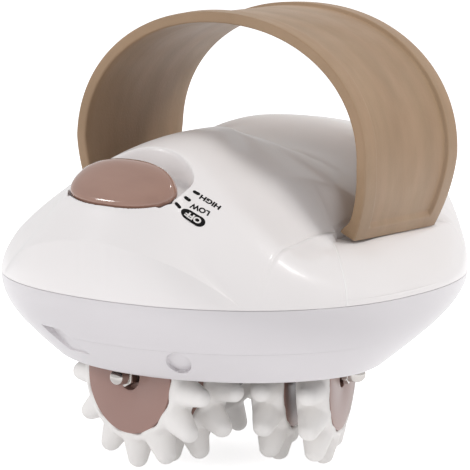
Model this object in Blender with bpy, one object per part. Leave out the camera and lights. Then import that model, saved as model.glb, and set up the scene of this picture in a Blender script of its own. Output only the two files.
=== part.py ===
"""Hand-held body massager: a domed housing with a hand strap, a sliding switch and, underneath,
a motor-driven rotor with three arms that each carry two studded rubber wheels.

Metres, +Z up. The rotor turns about the Z axis, the switch end is towards -Y, and the studs of
the wheels stand on z = 0. Every length below is a driving size, and every share has no unit.
"""

import math

import bmesh
import bpy
from mathutils import Matrix, Vector

# Housing, outer form
BODY_HALF_WIDTH = 0.0620
BODY_FRONT = 0.0699
BODY_REAR = 0.0874
BODY_CENTRE_Y = 0.0017
BODY_ROUND_SHARE = 2.2
PARTING_Z = 0.0552
DOME_HEIGHT = 0.04365
SHELL_WALL = 0.0024
JOINT_GAP = 0.0003
CUT_OVERRUN = 0.0040

# How the dome falls away from its middle towards the front, the sides and the rear
FALL_FRONT_SHARE = 2.8
FALL_SIDE_SHARE = 1.18
FALL_REAR_SHARE = 4.2
BLUNT_FRONT_SHARE = 0.40
BLUNT_SIDE_SHARE = 0.58
BLUNT_REAR_SHARE = 0.35
RIDGE_FRONT_SHARE = 6.9
RIDGE_REAR_SHARE = 1.54
CROWN_ROUND_SHARE = 2.66
CROWN_SPREAD_SHARE = 4.0

# Trough for the hand under the strap
TROUGH_Y = 0.0200
TROUGH_Z = 0.0915
TROUGH_RISE_RADIUS = 0.0250
TROUGH_WALL_X = 0.0405
TROUGH_ROUND_SHARE = 3.3
FLARE_RADIUS = 0.0070
CREST_ROUND = 0.0060

# Ledge and flat side below each foot of the strap
LEDGE_RAISE = 0.0145
LEDGE_Z = PARTING_Z + LEDGE_RAISE
LEDGE_RUN = 0.0062
LEDGE_OUT_X = TROUGH_WALL_X + LEDGE_RUN
LEDGE_STEP = 0.0004
SIDE_EDGE_RAISE = 0.0014
SIDE_EDGE_Z = PARTING_Z + SIDE_EDGE_RAISE
SIDE_ROUND = 0.0030
SEAT_SETBACK = 0.0019
SEAT_WALL_X = TROUGH_WALL_X - SEAT_SETBACK

# Places of the wheels along each arm, which set the well round them
TYRE_WIDTH = 0.0100
INNER_WHEEL_REACH = 0.0190
WHEEL_SPACING = 0.0037
OUTER_WHEEL_REACH = INNER_WHEEL_REACH + TYRE_WIDTH + WHEEL_SPACING
WELL_MARGIN = 0.0135

# Lower housing
WELL_RADIUS = OUTER_WHEEL_REACH + WELL_MARGIN
RIM_THICK = 0.0020
RIM_RADIUS = WELL_RADIUS + RIM_THICK
RIM_Z = 0.0308
RIM_LIP = 0.0012
RING_TOP_Z = 0.0411
WELL_WALL = 0.0016
LOWER_FLOOR = 0.0020
DIMPLE_RADIUS = 0.0035
DIMPLE_DEPTH = 0.0022
DIMPLE_Z = 0.0373
DIMPLE_ANGLE = math.radians(21.0)
NOTCH_LENGTH = 0.0130
NOTCH_HEIGHT = 0.0075
NOTCH_DEPTH = 0.0020
NOTCH_Z = 0.0397
NOTCH_ANGLE = math.radians(-16.6)

# Hand strap
STRAP_WALL_MARGIN = 0.0106
STRAP_HALF_SPAN = TROUGH_WALL_X + STRAP_WALL_MARGIN
STRAP_SHOULDER_RAISE = 0.0361
STRAP_SHOULDER_Z = PARTING_Z + STRAP_SHOULDER_RAISE
STRAP_RISE = 0.0415
STRAP_ROUND_SHARE = 2.11
STRAP_LEAN = 0.0048
STRAP_Y = 0.0204
STRAP_FOOT_WIDTH = 0.0460
STRAP_MID_WIDTH = 0.0530
STRAP_THICK = 0.0034
STRAP_FOOT_THICK = 0.0056
STRAP_BEAD = 0.0011
STRAP_BEAD_WIDTH = 0.0060
STRAP_PANEL_START = 0.0060
TONGUE_LENGTH = 0.0100
TONGUE_WIDTH = 0.0240
TONGUE_THICK = 0.0026
TONGUE_RAISE = 0.0018
CLAMP_THICK = 0.0021
CLAMP_DEPTH = 0.0058
SHELF_THICK = 0.0040

# Slide switch
KNOB_FRONT_MARGIN = 0.0146
KNOB_Y = BODY_CENTRE_Y - BODY_FRONT + KNOB_FRONT_MARGIN
KNOB_LEVEL_SHARE = 2.0 / 3.0
KNOB_BASE_Z = PARTING_Z + DOME_HEIGHT * KNOB_LEVEL_SHARE
KNOB_SLOPE = math.radians(20.0)
KNOB_HALF_WIDTH = 0.0171
KNOB_HALF_LENGTH = 0.0088
KNOB_HEIGHT = 0.0053
KNOB_WEDGE_SHARE = 0.6
KNOB_ROUND_SHARE = 2.3
KNOB_LEVEL_SHARES = ((1.0, 0.0), (1.0, 0.22), (0.94, 0.55), (0.78, 0.82), (0.45, 0.97))
SWITCH_TRAVEL = 0.0070
RECESS_DEPTH = 0.0022
RECESS_MARGIN = 0.0007
RECESS_WALL = 0.0018
SLIDER_THICK = 0.0017
SLIDER_MARGIN = 0.0004
STEM_WIDTH = 0.0080
STEM_LENGTH = 0.0024
SLOT_MARGIN = 0.0004
SWITCH_BODY_WIDTH = 0.0160
SWITCH_BODY_LENGTH = 0.0160
SWITCH_BODY_HEIGHT = 0.0050
BOARD_WIDTH = 0.0320
BOARD_LENGTH = 0.0220
BOARD_THICK = 0.0016

# Rotor and wheels
ARMS = 3
ARM_REST = math.radians(-11.4)
WHEEL_TIP_RADIUS = 0.0278
AXLE_Z = WHEEL_TIP_RADIUS
TYRE_TREAD_RADIUS = 0.0194
TYRE_CHAMFER = 0.0009
NUBS = 13
NUB_RADIUS = 0.0036
NUB_TAPER_SHARE = 0.90
NUB_FOOT_SHARE = 0.08
NUB_EDGE_ANGLE = math.radians(40.0)
DISC_RADIUS = 0.0170
DISC_THICK = 0.0014
BARREL_RADIUS = 0.0120
AXLE_RADIUS = 0.0020
AXLE_CLEARANCE = 0.0003
NUT_POCKET_RADIUS = 0.0042
NUT_POCKET_DEPTH = 0.0012
WHEEL_SIDE_GAP = 0.0004
COLLAR_RADIUS = 0.0050
HUB_RADIUS = 0.0070
HUB_HEIGHT = 0.0150
HUB_FLOOR = 0.0030
HUB_FOOT_SHARE = 0.8
ARM_ROOT_SHARE = 1.3
ARM_RADIUS = 0.0044
AXLE_INNER_END = 0.0045
NUT_HEX_RADIUS = 0.0032
NUT_HEX_HEIGHT = 0.0026
NUT_DOME_RADIUS = 0.0024
NUT_LENGTH = 0.0075
NUT_TIP_SHARE = 0.2

# Chassis, gears and motor
CHASSIS_THICK = 0.0020
WHEEL_HEADROOM = 0.0011
EAR_OVERHANG = 0.0040
CHASSIS_EAR_REACH = WELL_RADIUS + EAR_OVERHANG
EAR_RADIUS = 0.0032
CHASSIS_EARS = 3
EAR_SPREAD_SHARE = 0.97
SPINDLE_RADIUS = 0.0030
BUSH_RADIUS = 0.0047
BUSH_FLANGE_RADIUS = 0.0062
BUSH_FLANGE = 0.0012
GEAR_TEETH = 36
PINION_TEETH = 10
SLOW_MODULE = 0.0008
FAST_MODULE = 0.0007
PRESSURE_ANGLE = math.radians(25.0)
ADDENDUM_SHARE = 0.70
DEDENDUM_SHARE = 1.05
BACKLASH_SHARE = 0.12
OUTPUT_GEAR_FACE = 0.0040
MIDDLE_GEAR_FACE = 0.0026
GEAR_LIFT = 0.0006
PIN_RADIUS = 0.0015
COVER_FRONT_RADIUS = 0.0176
COVER_REAR_RADIUS = 0.0128
COVER_WALL = 0.0016
COVER_HEADROOM = 0.0009
COVER_EAR_THICK = 0.0022
COVER_EARS = ((0.0196, -0.0040), (0.0158, 0.0330))
MOTOR_RADIUS = 0.0120
MOTOR_HEIGHT = 0.0165
MOTOR_BOSS_RADIUS = 0.0032
MOTOR_SHAFT_RADIUS = 0.0010
MOTOR_SHAFT_SEAT = 0.0080
MOTOR_SCREW_REACH = 0.0080
MOTOR_SCREW_RADIUS = 0.0009
MOTOR_SCREW_HEAD_RADIUS = 0.0017
MOTOR_SCREW_BITE = 0.0040

# Screws and power inlet
SCREW_HEAD_RADIUS = 0.0027
SCREW_HEAD = 0.0016
SCREW_CROWN_SHARE = 0.7
SCREW_RADIUS = 0.0012
SCREW_CLEARANCE = 0.0003
SCREW_BITE = 0.0080
BOSS_RADIUS = 0.0031
FRONT_BOSS = (0.0240, -0.0465)
REAR_BOSS = (0.0240, 0.0520)
SMALL_HEAD_RADIUS = 0.0023
SMALL_SCREW_BITE = 0.0045
BOARD_POST_RADIUS = 0.0022
BOARD_POST_X = 0.0130
BOARD_SCREW_RADIUS = 0.0008
BOARD_SCREW_BITE = 0.0045
JACK_WIDTH = 0.0090
JACK_HEIGHT = 0.0090
JACK_LENGTH = 0.0120
JACK_SETBACK = 0.0042
JACK_FACE_Y = BODY_REAR - JACK_SETBACK
JACK_NOSE_RADIUS = 0.0027
JACK_NOSE_END = BODY_REAR
JACK_BORE_RADIUS = 0.0017
JACK_BORE_DEPTH = 0.0080
JACK_Z = 0.0655

# Numbers of facets
ROUND_SEGMENTS = 16
SMALL_SEGMENTS = 8
BODY_SEGMENTS = 48
DOME_RINGS = 10
CAVITY_RINGS = 6
FLANK_ROWS = 4
FINE_TEETH = 20
KNOB_POINTS = 28
DIMPLE_POINTS = 24
STRAP_STATIONS = 16
EAR_STEPS = 8


def clear_scene():
    for old in list(bpy.data.objects):
        bpy.data.objects.remove(old, do_unlink=True)


def material(name, colour, roughness, metallic=0.0):
    made = bpy.data.materials.new(name)
    made.use_nodes = True
    shader = made.node_tree.nodes["Principled BSDF"]
    shader.inputs["Base Color"].default_value = (*colour, 1.0)
    shader.inputs["Roughness"].default_value = roughness
    shader.inputs["Metallic"].default_value = metallic
    made.diffuse_color = (*colour, 1.0)
    return made


def new_mesh(name, points, faces, smooth=math.radians(35.0)):
    mesh = bpy.data.meshes.new(name)
    mesh.from_pydata([tuple(p) for p in points], [], faces)
    work = bmesh.new()
    work.from_mesh(mesh)
    bmesh.ops.recalc_face_normals(work, faces=work.faces)
    work.to_mesh(mesh)
    work.free()
    if smooth:
        mesh.shade_smooth()
        mesh.set_sharp_from_angle(angle=smooth)
    return mesh


def add_piece(name, mesh, finish, place=None):
    piece = bpy.data.objects.new(name, mesh)
    if not mesh.materials:
        mesh.materials.append(finish)
    if place is not None:
        piece.matrix_world = place
    bpy.context.scene.collection.objects.link(piece)
    return piece


def add_cutter(name, mesh, place=None):
    cutter = bpy.data.objects.new(name, mesh)
    if place is not None:
        cutter.matrix_world = place
    cutter.hide_render = True
    cutter.display_type = "WIRE"
    bpy.context.scene.collection.objects.link(cutter)
    return cutter


def combine(piece, operation, cutter):
    step = piece.modifiers.new(operation.lower() + "_" + cutter.name, "BOOLEAN")
    step.operation = operation
    step.solver = "EXACT"
    step.object = cutter


def loft_faces(count, rings, closed):
    faces = []
    last = rings if closed else rings - 1
    for r in range(last):
        a, b = r * count, ((r + 1) % rings) * count
        for i in range(count):
            j = (i + 1) % count
            faces.append((a + i, a + j, b + j, b + i))
    return faces


def loft(name, rings, closed=False, smooth=math.radians(35.0)):
    """A skin through rings of equal length, capped at both ends unless the rings close up."""
    count = len(rings[0])
    points = [p for ring in rings for p in ring]
    faces = loft_faces(count, len(rings), closed)
    if not closed:
        faces.append(tuple(range(count)))
        faces.append(tuple(range((len(rings) - 1) * count, len(rings) * count)))
    return new_mesh(name, points, faces, smooth)


def circle(radius, z, segments, x=0.0, y=0.0):
    turn = 2.0 * math.pi / segments
    return [
        (x + radius * math.cos(i * turn), y + radius * math.sin(i * turn), z)
        for i in range(segments)
    ]


def turned(name, profile, segments=ROUND_SEGMENTS, bored=False):
    """A round piece about Z from (radius, z) points; a bored profile closes on itself."""
    return loft(name, [circle(r, z, segments) for r, z in profile], closed=bored)


def rod(name, radius, low, high, segments=SMALL_SEGMENTS, x=0.0, y=0.0):
    return loft(name, [circle(radius, low, segments, x, y), circle(radius, high, segments, x, y)])


def rods(name, places, radius, low, high, segments=SMALL_SEGMENTS):
    """Several separate upright rods in one mesh, for cutters and bosses."""
    points, faces = [], []
    for x, y in places:
        start = len(points)
        points += circle(radius, low, segments, x, y) + circle(radius, high, segments, x, y)
        faces += [tuple(start + k for k in f) for f in loft_faces(segments, 2, False)]
        faces.append(tuple(start + k for k in range(segments)))
        faces.append(tuple(start + segments + k for k in range(segments)))
    return new_mesh(name, points, faces)


def block(name, low, high):
    (x0, y0, z0), (x1, y1, z1) = low, high
    floor = [(x0, y0, z0), (x1, y0, z0), (x1, y1, z0), (x0, y1, z0)]
    return loft(name, [floor, [(x, y, z1) for x, y, _ in floor]], smooth=None)


def prism(name, outline, low, high):
    return loft(name, [[(x, y, low) for x, y in outline], [(x, y, high) for x, y in outline]])


def mix(a, b, share):
    return a + (b - a) * share


def egg_reach(angle, inset=0.0):
    """Point of the parting line at this angle about the middle of the body."""
    c, s = math.cos(angle), math.sin(angle)
    power = 2.0 / BODY_ROUND_SHARE
    reach = BODY_FRONT if s < 0.0 else BODY_REAR
    x = math.copysign(abs(c) ** power, c) * (BODY_HALF_WIDTH - inset)
    y = math.copysign(abs(s) ** power, s) * (reach - inset)
    return x, BODY_CENTRE_Y + y


def soft_least(a, b, width):
    """The lesser of two heights, with the corner between them rounded over this width."""
    near = max(width - abs(a - b), 0.0) / width
    return min(a, b) - near * near * width / 4.0


def dome_height(x, y, inset):
    wide = abs(x) / (BODY_HALF_WIDTH - inset)
    away = y - BODY_CENTRE_Y
    deep = abs(away) / ((BODY_FRONT if away < 0.0 else BODY_REAR) - inset)
    share = min((wide**BODY_ROUND_SHARE + deep**BODY_ROUND_SHARE) ** (1.0 / BODY_ROUND_SHARE), 1.0)
    lean = deep / max(math.hypot(wide, deep), 1e-9)
    if away < 0.0:
        boxed = (wide**CROWN_ROUND_SHARE + deep**CROWN_ROUND_SHARE) ** (1.0 / CROWN_ROUND_SHARE)
        share = mix(boxed, share, share**CROWN_SPREAD_SHARE)
        ridge, fall, blunt = lean**RIDGE_FRONT_SHARE, FALL_FRONT_SHARE, BLUNT_FRONT_SHARE
    else:
        ridge, fall, blunt = lean**RIDGE_REAR_SHARE, FALL_REAR_SHARE, BLUNT_REAR_SHARE
    fall = mix(FALL_SIDE_SHARE, fall, ridge)
    blunt = mix(BLUNT_SIDE_SHARE, blunt, ridge)
    return PARTING_Z + (DOME_HEIGHT - inset) * (1.0 - share**fall) ** blunt


def trough_height(x, y, inset):
    """Saddle for the hand: an arch across the body that rises and flares away from the strap."""
    beyond = max(abs(y - TROUGH_Y) - STRAP_FOOT_WIDTH / 2.0, 0.0)
    flare = beyond * beyond / (2.0 * FLARE_RADIUS)
    top = TROUGH_Z - inset + (y - TROUGH_Y) ** 2 / (2.0 * TROUGH_RISE_RADIUS)
    wall = TROUGH_WALL_X - inset + flare
    slope = (LEDGE_Z - SIDE_EDGE_Z) / (BODY_HALF_WIDTH - LEDGE_OUT_X)
    ledge = LEDGE_Z + LEDGE_STEP - inset - slope * max(abs(x) - LEDGE_OUT_X + inset, 0.0)
    side = ledge + flare
    if abs(x) >= wall:
        return side
    share = (1.0 - (abs(x) / wall) ** TROUGH_ROUND_SHARE) ** (1.0 / TROUGH_ROUND_SHARE)
    return max(side, LEDGE_Z - inset + (top - LEDGE_Z + inset) * share)


def skin_height(x, y, inset=0.0):
    dome = dome_height(x, y, inset)
    return max(soft_least(dome, trough_height(x, y, inset), CREST_ROUND), PARTING_Z)


def dome_rings(rings, inset, low):
    """Rings of the dome from the parting line up, and the point at its top."""
    made = [[(*egg_reach(2.0 * math.pi * i / BODY_SEGMENTS, inset), low) for i in range(BODY_SEGMENTS)]]
    for r in range(1, rings):
        share = math.cos(0.5 * math.pi * r / rings)
        ring = []
        for i in range(BODY_SEGMENTS):
            x, y = egg_reach(2.0 * math.pi * i / BODY_SEGMENTS, inset)
            x, y = x * share, BODY_CENTRE_Y + (y - BODY_CENTRE_Y) * share
            ring.append((x, y, skin_height(x, y, inset)))
        made.append(ring)
    return made, (0.0, BODY_CENTRE_Y, skin_height(0.0, BODY_CENTRE_Y, inset))


def domed_solid(name, rings, inset, skirt=0.0):
    loops, top = dome_rings(rings, inset, PARTING_Z)
    if skirt:
        loops.insert(0, [(x, y, z - skirt) for x, y, z in loops[0]])
    points = [p for loop in loops for p in loop] + [top]
    faces = loft_faces(BODY_SEGMENTS, len(loops), False)
    faces.append(tuple(range(BODY_SEGMENTS)))
    last = (len(loops) - 1) * BODY_SEGMENTS
    peak = len(points) - 1
    faces += [(last + i, last + (i + 1) % BODY_SEGMENTS, peak) for i in range(BODY_SEGMENTS)]
    return new_mesh(name, points, faces)


def flank_point(angle, z, inset=0.0):
    """Lower housing at a height: a circle at the rim that grows into the parting line above."""
    up = min(max((z - RIM_Z) / (PARTING_Z - RIM_Z), 0.0), 1.0)
    share = math.sin(0.5 * math.pi * up)
    x, y = egg_reach(angle, inset)
    cx, cy = (RIM_RADIUS - inset) * math.cos(angle), (RIM_RADIUS - inset) * math.sin(angle)
    return mix(cx, x, share), mix(cy, y, share), z


def flank_ring(z, inset=0.0):
    return [flank_point(2.0 * math.pi * i / BODY_SEGMENTS, z, inset) for i in range(BODY_SEGMENTS)]


def strap_band(margin, z):
    """Front and rear of the room for the strap, which widens from its feet upwards."""
    up = (z - LEDGE_Z) / (STRAP_SHOULDER_Z - LEDGE_Z)
    half = mix(STRAP_FOOT_WIDTH, STRAP_MID_WIDTH, up) / 2.0 + margin
    return STRAP_Y - half, STRAP_Y + half


def seat_blocks(name, wall):
    """Blocks above the ledges on both sides, grown inwards by a wall for the inside of the shell."""
    reach = BODY_HALF_WIDTH + CUT_OVERRUN
    made = []
    for side, tag in ((-1.0, "left"), (1.0, "right")):
        xs = sorted((side * (SEAT_WALL_X - wall), side * reach))
        rings = []
        for z in (LEDGE_Z - wall, STRAP_SHOULDER_Z + STRAP_RISE):
            front, rear = strap_band(JOINT_GAP + wall, z)
            rings.append([(xs[0], front, z), (xs[1], front, z), (xs[1], rear, z), (xs[0], rear, z)])
        made.append(add_cutter(name + "_" + tag, loft(name + "_" + tag, rings, smooth=None)))
    return made


def tongue_span():
    low = LEDGE_Z + TONGUE_RAISE
    return low, low + TONGUE_THICK


def tongue_block(name, side, grow, inner, outer):
    low, high = tongue_span()
    xs = sorted((side * inner, side * outer))
    y0, y1 = STRAP_Y - TONGUE_WIDTH / 2.0 - grow, STRAP_Y + TONGUE_WIDTH / 2.0 + grow
    return block(name, (xs[0], y0, low - grow), (xs[1], y1, high + grow))


def boss_places():
    return [(sx * x, y) for x, y in (FRONT_BOSS, REAR_BOSS) for sx in (-1.0, 1.0)]


def ear_places():
    turn = 2.0 * math.pi / CHASSIS_EARS
    return [
        (CHASSIS_EAR_REACH * math.cos(math.pi / 2.0 + k * turn),
         CHASSIS_EAR_REACH * math.sin(math.pi / 2.0 + k * turn))
        for k in range(CHASSIS_EARS)
    ]


CHASSIS_Z = AXLE_Z + WHEEL_TIP_RADIUS + WHEEL_HEADROOM
CHASSIS_TOP = CHASSIS_Z + CHASSIS_THICK
TUBE_TOP = CHASSIS_Z - JOINT_GAP
LOWER_BOTTOM = RING_TOP_Z + JOINT_GAP
SLOPE_FRAME = Matrix.Translation((0.0, KNOB_Y, KNOB_BASE_Z)) @ Matrix.Rotation(KNOB_SLOPE, 4, "X")


def oval(half_width, half_length, share, count):
    points = []
    for i in range(count):
        turn = 2.0 * math.pi * (i + 0.5) / count
        c, s = math.cos(turn), math.sin(turn)
        x = math.copysign(abs(c) ** (2.0 / share), c) * half_width
        points.append((x, math.copysign(abs(s) ** (2.0 / share), s) * half_length))
    return points


def recess_outline(margin):
    """Room for the knob over its whole travel, in the frame of the front slope."""
    ring = oval(KNOB_HALF_WIDTH + margin, KNOB_HALF_LENGTH + margin, KNOB_ROUND_SHARE, KNOB_POINTS)
    return [(x, y + SWITCH_TRAVEL if y > 0.0 else y) for x, y in ring]


def stem_level():
    """Lower end of the slider's stem, just under the floor of the recess."""
    return -RECESS_DEPTH - RECESS_WALL - JOINT_GAP


def board_level():
    return stem_level() - SWITCH_BODY_HEIGHT - JOINT_GAP * 2.0


def board_posts():
    return [(-BOARD_POST_X, SWITCH_TRAVEL / 2.0), (BOARD_POST_X, SWITCH_TRAVEL / 2.0)]


def jack_frame():
    """Local Z runs rearwards along the middle of the power inlet."""
    return Matrix.Translation((0.0, 0.0, JACK_Z)) @ Matrix.Rotation(-math.pi / 2.0, 4, "X")


def make_upper_shell(white):
    shell = add_piece("upper_shell", domed_solid("upper_shell", DOME_RINGS, 0.0), white)
    cavity = add_cutter("shell_cavity", domed_solid("shell_cavity", CAVITY_RINGS, SHELL_WALL,
                        CUT_OVERRUN))
    for seat in seat_blocks("seat_wall", SHELL_WALL):
        combine(cavity, "DIFFERENCE", seat)
    top = PARTING_Z + DOME_HEIGHT
    boss_low = TUBE_TOP
    combine(cavity, "DIFFERENCE", add_cutter("shell_bosses", rods("shell_bosses", boss_places(),
            BOSS_RADIUS, boss_low, top)))
    _, tongue_top = tongue_span()
    shelf_low = tongue_top + JOINT_GAP
    y0, y1 = STRAP_Y - TONGUE_WIDTH / 2.0 - SHELL_WALL, STRAP_Y + TONGUE_WIDTH / 2.0 + SHELL_WALL
    for side, tag in ((-1.0, "left"), (1.0, "right")):
        inner = SEAT_WALL_X - SHELL_WALL - CLAMP_DEPTH - JOINT_GAP
        xs = sorted((side * inner, side * BODY_HALF_WIDTH))
        shelf = block("shelf_" + tag, (xs[0], y0, shelf_low), (xs[1], y1, shelf_low + SHELF_THICK))
        combine(cavity, "DIFFERENCE", add_cutter("shelf_" + tag, shelf))
    pan = prism("recess_pan", recess_outline(RECESS_MARGIN + RECESS_WALL),
                -RECESS_DEPTH - RECESS_WALL, DOME_HEIGHT / 2.0)
    combine(cavity, "DIFFERENCE", add_cutter("recess_pan", pan, SLOPE_FRAME))
    posts = rods("board_supports", board_posts(), BOARD_POST_RADIUS, board_level() + JOINT_GAP,
                 DOME_HEIGHT)
    combine(cavity, "DIFFERENCE", add_cutter("board_supports", posts, SLOPE_FRAME))
    combine(shell, "DIFFERENCE", cavity)
    board_pilots = rods("board_pilots", board_posts(), BOARD_SCREW_RADIUS + SCREW_CLEARANCE,
                        board_level() - CUT_OVERRUN, board_level() + BOARD_SCREW_BITE + JOINT_GAP)
    combine(shell, "DIFFERENCE", add_cutter("board_pilots", board_pilots, SLOPE_FRAME))
    for seat in seat_blocks("seat", 0.0):
        combine(shell, "DIFFERENCE", seat)
    for side, tag in ((-1.0, "left"), (1.0, "right")):
        inner = SEAT_WALL_X - SHELL_WALL - CUT_OVERRUN / 2.0
        slot = tongue_block("strap_slot_" + tag, side, JOINT_GAP, inner, SEAT_WALL_X + CUT_OVERRUN)
        combine(shell, "DIFFERENCE", add_cutter("strap_slot_" + tag, slot))
    pilots = rods("shell_pilots", boss_places(), SCREW_RADIUS + SCREW_CLEARANCE,
                  TUBE_TOP - CUT_OVERRUN, TUBE_TOP + SCREW_BITE)
    combine(shell, "DIFFERENCE", add_cutter("shell_pilots", pilots))
    clamp_pilots = rods("clamp_pilots", clamp_screw_places(), SCREW_RADIUS + SCREW_CLEARANCE,
                        shelf_low - JOINT_GAP, shelf_low + SHELF_THICK - SHELL_WALL / 4.0)
    combine(shell, "DIFFERENCE", add_cutter("clamp_pilots", clamp_pilots))
    middle = SWITCH_TRAVEL / 2.0
    pocket = prism("knob_recess", recess_outline(RECESS_MARGIN), -RECESS_DEPTH, DOME_HEIGHT / 2.0)
    combine(shell, "DIFFERENCE", add_cutter("knob_recess", pocket, SLOPE_FRAME))
    half_slot = (STEM_LENGTH + SWITCH_TRAVEL) / 2.0 + SLOT_MARGIN
    slot_low, slot_high = -RECESS_DEPTH - RECESS_WALL - CUT_OVERRUN, KNOB_HEIGHT
    slot = block("stem_slot", (-STEM_WIDTH / 2.0 - SLOT_MARGIN, middle - half_slot, slot_low),
                 (STEM_WIDTH / 2.0 + SLOT_MARGIN, middle + half_slot, slot_high))
    combine(shell, "DIFFERENCE", add_cutter("stem_slot", slot, SLOPE_FRAME))
    hole = rod("jack_hole", JACK_NOSE_RADIUS + JOINT_GAP, JACK_FACE_Y - CUT_OVERRUN,
               BODY_REAR + CUT_OVERRUN + CUT_OVERRUN, ROUND_SEGMENTS)
    combine(shell, "DIFFERENCE", add_cutter("jack_hole", hole, jack_frame()))
    return shell


def flank_prism(name, outline, z, angle, depth):
    """A cutter that enters the lower flank square to it, at a height and an angle from the front."""
    heading = angle - math.pi / 2.0
    turn = math.pi / BODY_SEGMENTS
    here = Vector(flank_point(heading, z))
    along = (Vector(flank_point(heading + turn, z)) - Vector(flank_point(heading - turn, z))).normalized()
    rise = (Vector(flank_point(heading, z + CUT_OVERRUN)) - here).normalized()
    out = along.cross(rise).normalized()
    rise = out.cross(along)
    frame = Matrix((along, rise, out)).transposed().to_4x4()
    frame.translation = here
    return add_cutter(name, prism(name, outline, -depth, CUT_OVERRUN), frame)


def notch_cutter():
    half = NOTCH_LENGTH / 2.0
    lean = NOTCH_HEIGHT / 2.0
    outline = [(-half, lean), (half - lean, lean), (half, -lean), (lean - half, -lean)]
    return flank_prism("notch", outline, NOTCH_Z, NOTCH_ANGLE, NOTCH_DEPTH)


def make_lower_shell(white, notch):
    rows = [mix(LOWER_BOTTOM, PARTING_Z - JOINT_GAP, k / FLANK_ROWS) for k in range(FLANK_ROWS + 1)]
    shell = add_piece("lower_shell", loft("lower_shell", [flank_ring(z) for z in rows]), white)
    floor = LOWER_BOTTOM + LOWER_FLOOR
    rows = [mix(floor, PARTING_Z + CUT_OVERRUN, k / FLANK_ROWS) for k in range(FLANK_ROWS + 1)]
    cavity = loft("lower_cavity", [flank_ring(z, SHELL_WALL) for z in rows])
    combine(shell, "DIFFERENCE", add_cutter("lower_cavity", cavity))
    root = LOWER_BOTTOM + LOWER_FLOOR / 2.0
    tube = rod("well_tube", WELL_RADIUS + WELL_WALL, root, TUBE_TOP, BODY_SEGMENTS)
    combine(shell, "UNION", add_cutter("well_tube", tube))
    combine(shell, "UNION", add_cutter("lugs", rods("lugs", ear_places(), EAR_RADIUS - JOINT_GAP,
            root, TUBE_TOP)))
    boss_top = TUBE_TOP - JOINT_GAP
    combine(shell, "UNION", add_cutter("lower_bosses", rods("lower_bosses", boss_places(),
            BOSS_RADIUS, root, boss_top)))
    well = rod("well", WELL_RADIUS, RIM_Z - CUT_OVERRUN, TUBE_TOP + CUT_OVERRUN, BODY_SEGMENTS)
    combine(shell, "DIFFERENCE", add_cutter("well", well))
    bore = SCREW_RADIUS + SCREW_CLEARANCE
    through = rods("lower_screw_holes", boss_places(), bore, RIM_Z, TUBE_TOP + CUT_OVERRUN)
    combine(shell, "DIFFERENCE", add_cutter("lower_screw_holes", through))
    sinks = rods("lower_screw_sinks", boss_places(), SCREW_HEAD_RADIUS + SCREW_CLEARANCE, RIM_Z,
                 LOWER_BOTTOM + SCREW_HEAD + JOINT_GAP)
    combine(shell, "DIFFERENCE", add_cutter("lower_screw_sinks", sinks))
    pilots = rods("lug_pilots", ear_places(), bore, TUBE_TOP - SMALL_SCREW_BITE - JOINT_GAP,
                  TUBE_TOP + CUT_OVERRUN)
    combine(shell, "DIFFERENCE", add_cutter("lug_pilots", pilots))
    combine(shell, "DIFFERENCE", notch)
    return shell


def make_base_ring(white, notch):
    outside = [(RIM_Z, 0.0), (RIM_Z + RIM_LIP, 0.0), (mix(RIM_Z, RING_TOP_Z, 0.5), 0.0),
               (RING_TOP_Z, 0.0)]
    rings = [flank_ring(z) for z, _ in outside]
    rings += [circle(WELL_RADIUS, z, BODY_SEGMENTS) for z in (RING_TOP_Z, RIM_Z)]
    ring = add_piece("base_ring", loft("base_ring", rings, closed=True), white)
    turn = 2.0 * math.pi / DIMPLE_POINTS
    outline = [
        (DIMPLE_RADIUS * math.cos(k * turn), DIMPLE_RADIUS * math.sin(k * turn))
        for k in range(DIMPLE_POINTS)
    ]
    combine(ring, "DIFFERENCE", flank_prism("dimple", outline, DIMPLE_Z, DIMPLE_ANGLE, DIMPLE_DEPTH))
    combine(ring, "DIFFERENCE", notch)
    return ring


def strap_path():
    """Outer line of the strap from the right foot over the top to the left foot: (x, z, nx, nz)."""
    foot = LEDGE_Z + JOINT_GAP
    half = []
    legs = STRAP_STATIONS // 3
    drop = STRAP_SHOULDER_Z - foot
    for k in range(legs):
        z = mix(foot, STRAP_SHOULDER_Z, k / legs)
        half.append((STRAP_HALF_SPAN - STRAP_LEAN * ((STRAP_SHOULDER_Z - z) / drop) ** 2, z))
    arch = STRAP_STATIONS - legs
    for k in range(arch + 1):
        angle = 0.5 * math.pi * k / arch
        power = 2.0 / STRAP_ROUND_SHARE
        x = STRAP_HALF_SPAN * max(math.cos(angle), 0.0) ** power
        half.append((x, STRAP_SHOULDER_Z + STRAP_RISE * math.sin(angle) ** power))
    line = half + [(-x, z) for x, z in reversed(half[:-1])]
    path = []
    for k, (x, z) in enumerate(line):
        a, b = line[max(k - 1, 0)], line[min(k + 1, len(line) - 1)]
        length = math.hypot(b[0] - a[0], b[1] - a[1])
        nx, nz = (b[1] - a[1]) / length, (a[0] - b[0]) / length
        if k in (0, len(line) - 1):
            nx, nz = math.copysign(1.0, x), 0.0
        path.append((x, z, nx, nz))
    return path


def strap_section(width, thick, bead):
    """Section across the strap: (across, depth below the outer line), with raised round edges."""
    half, edge = width / 2.0, STRAP_BEAD_WIDTH
    return [
        (-half, thick / 2.0), (-half + bead / 2.0, bead / 4.0), (-half + edge / 2.0, 0.0),
        (-half + edge, bead), (half - edge, bead), (half - edge / 2.0, 0.0),
        (half - bead / 2.0, bead / 4.0), (half, thick / 2.0), (half - thick / 4.0, thick),
        (-half + thick / 4.0, thick),
    ]


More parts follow.
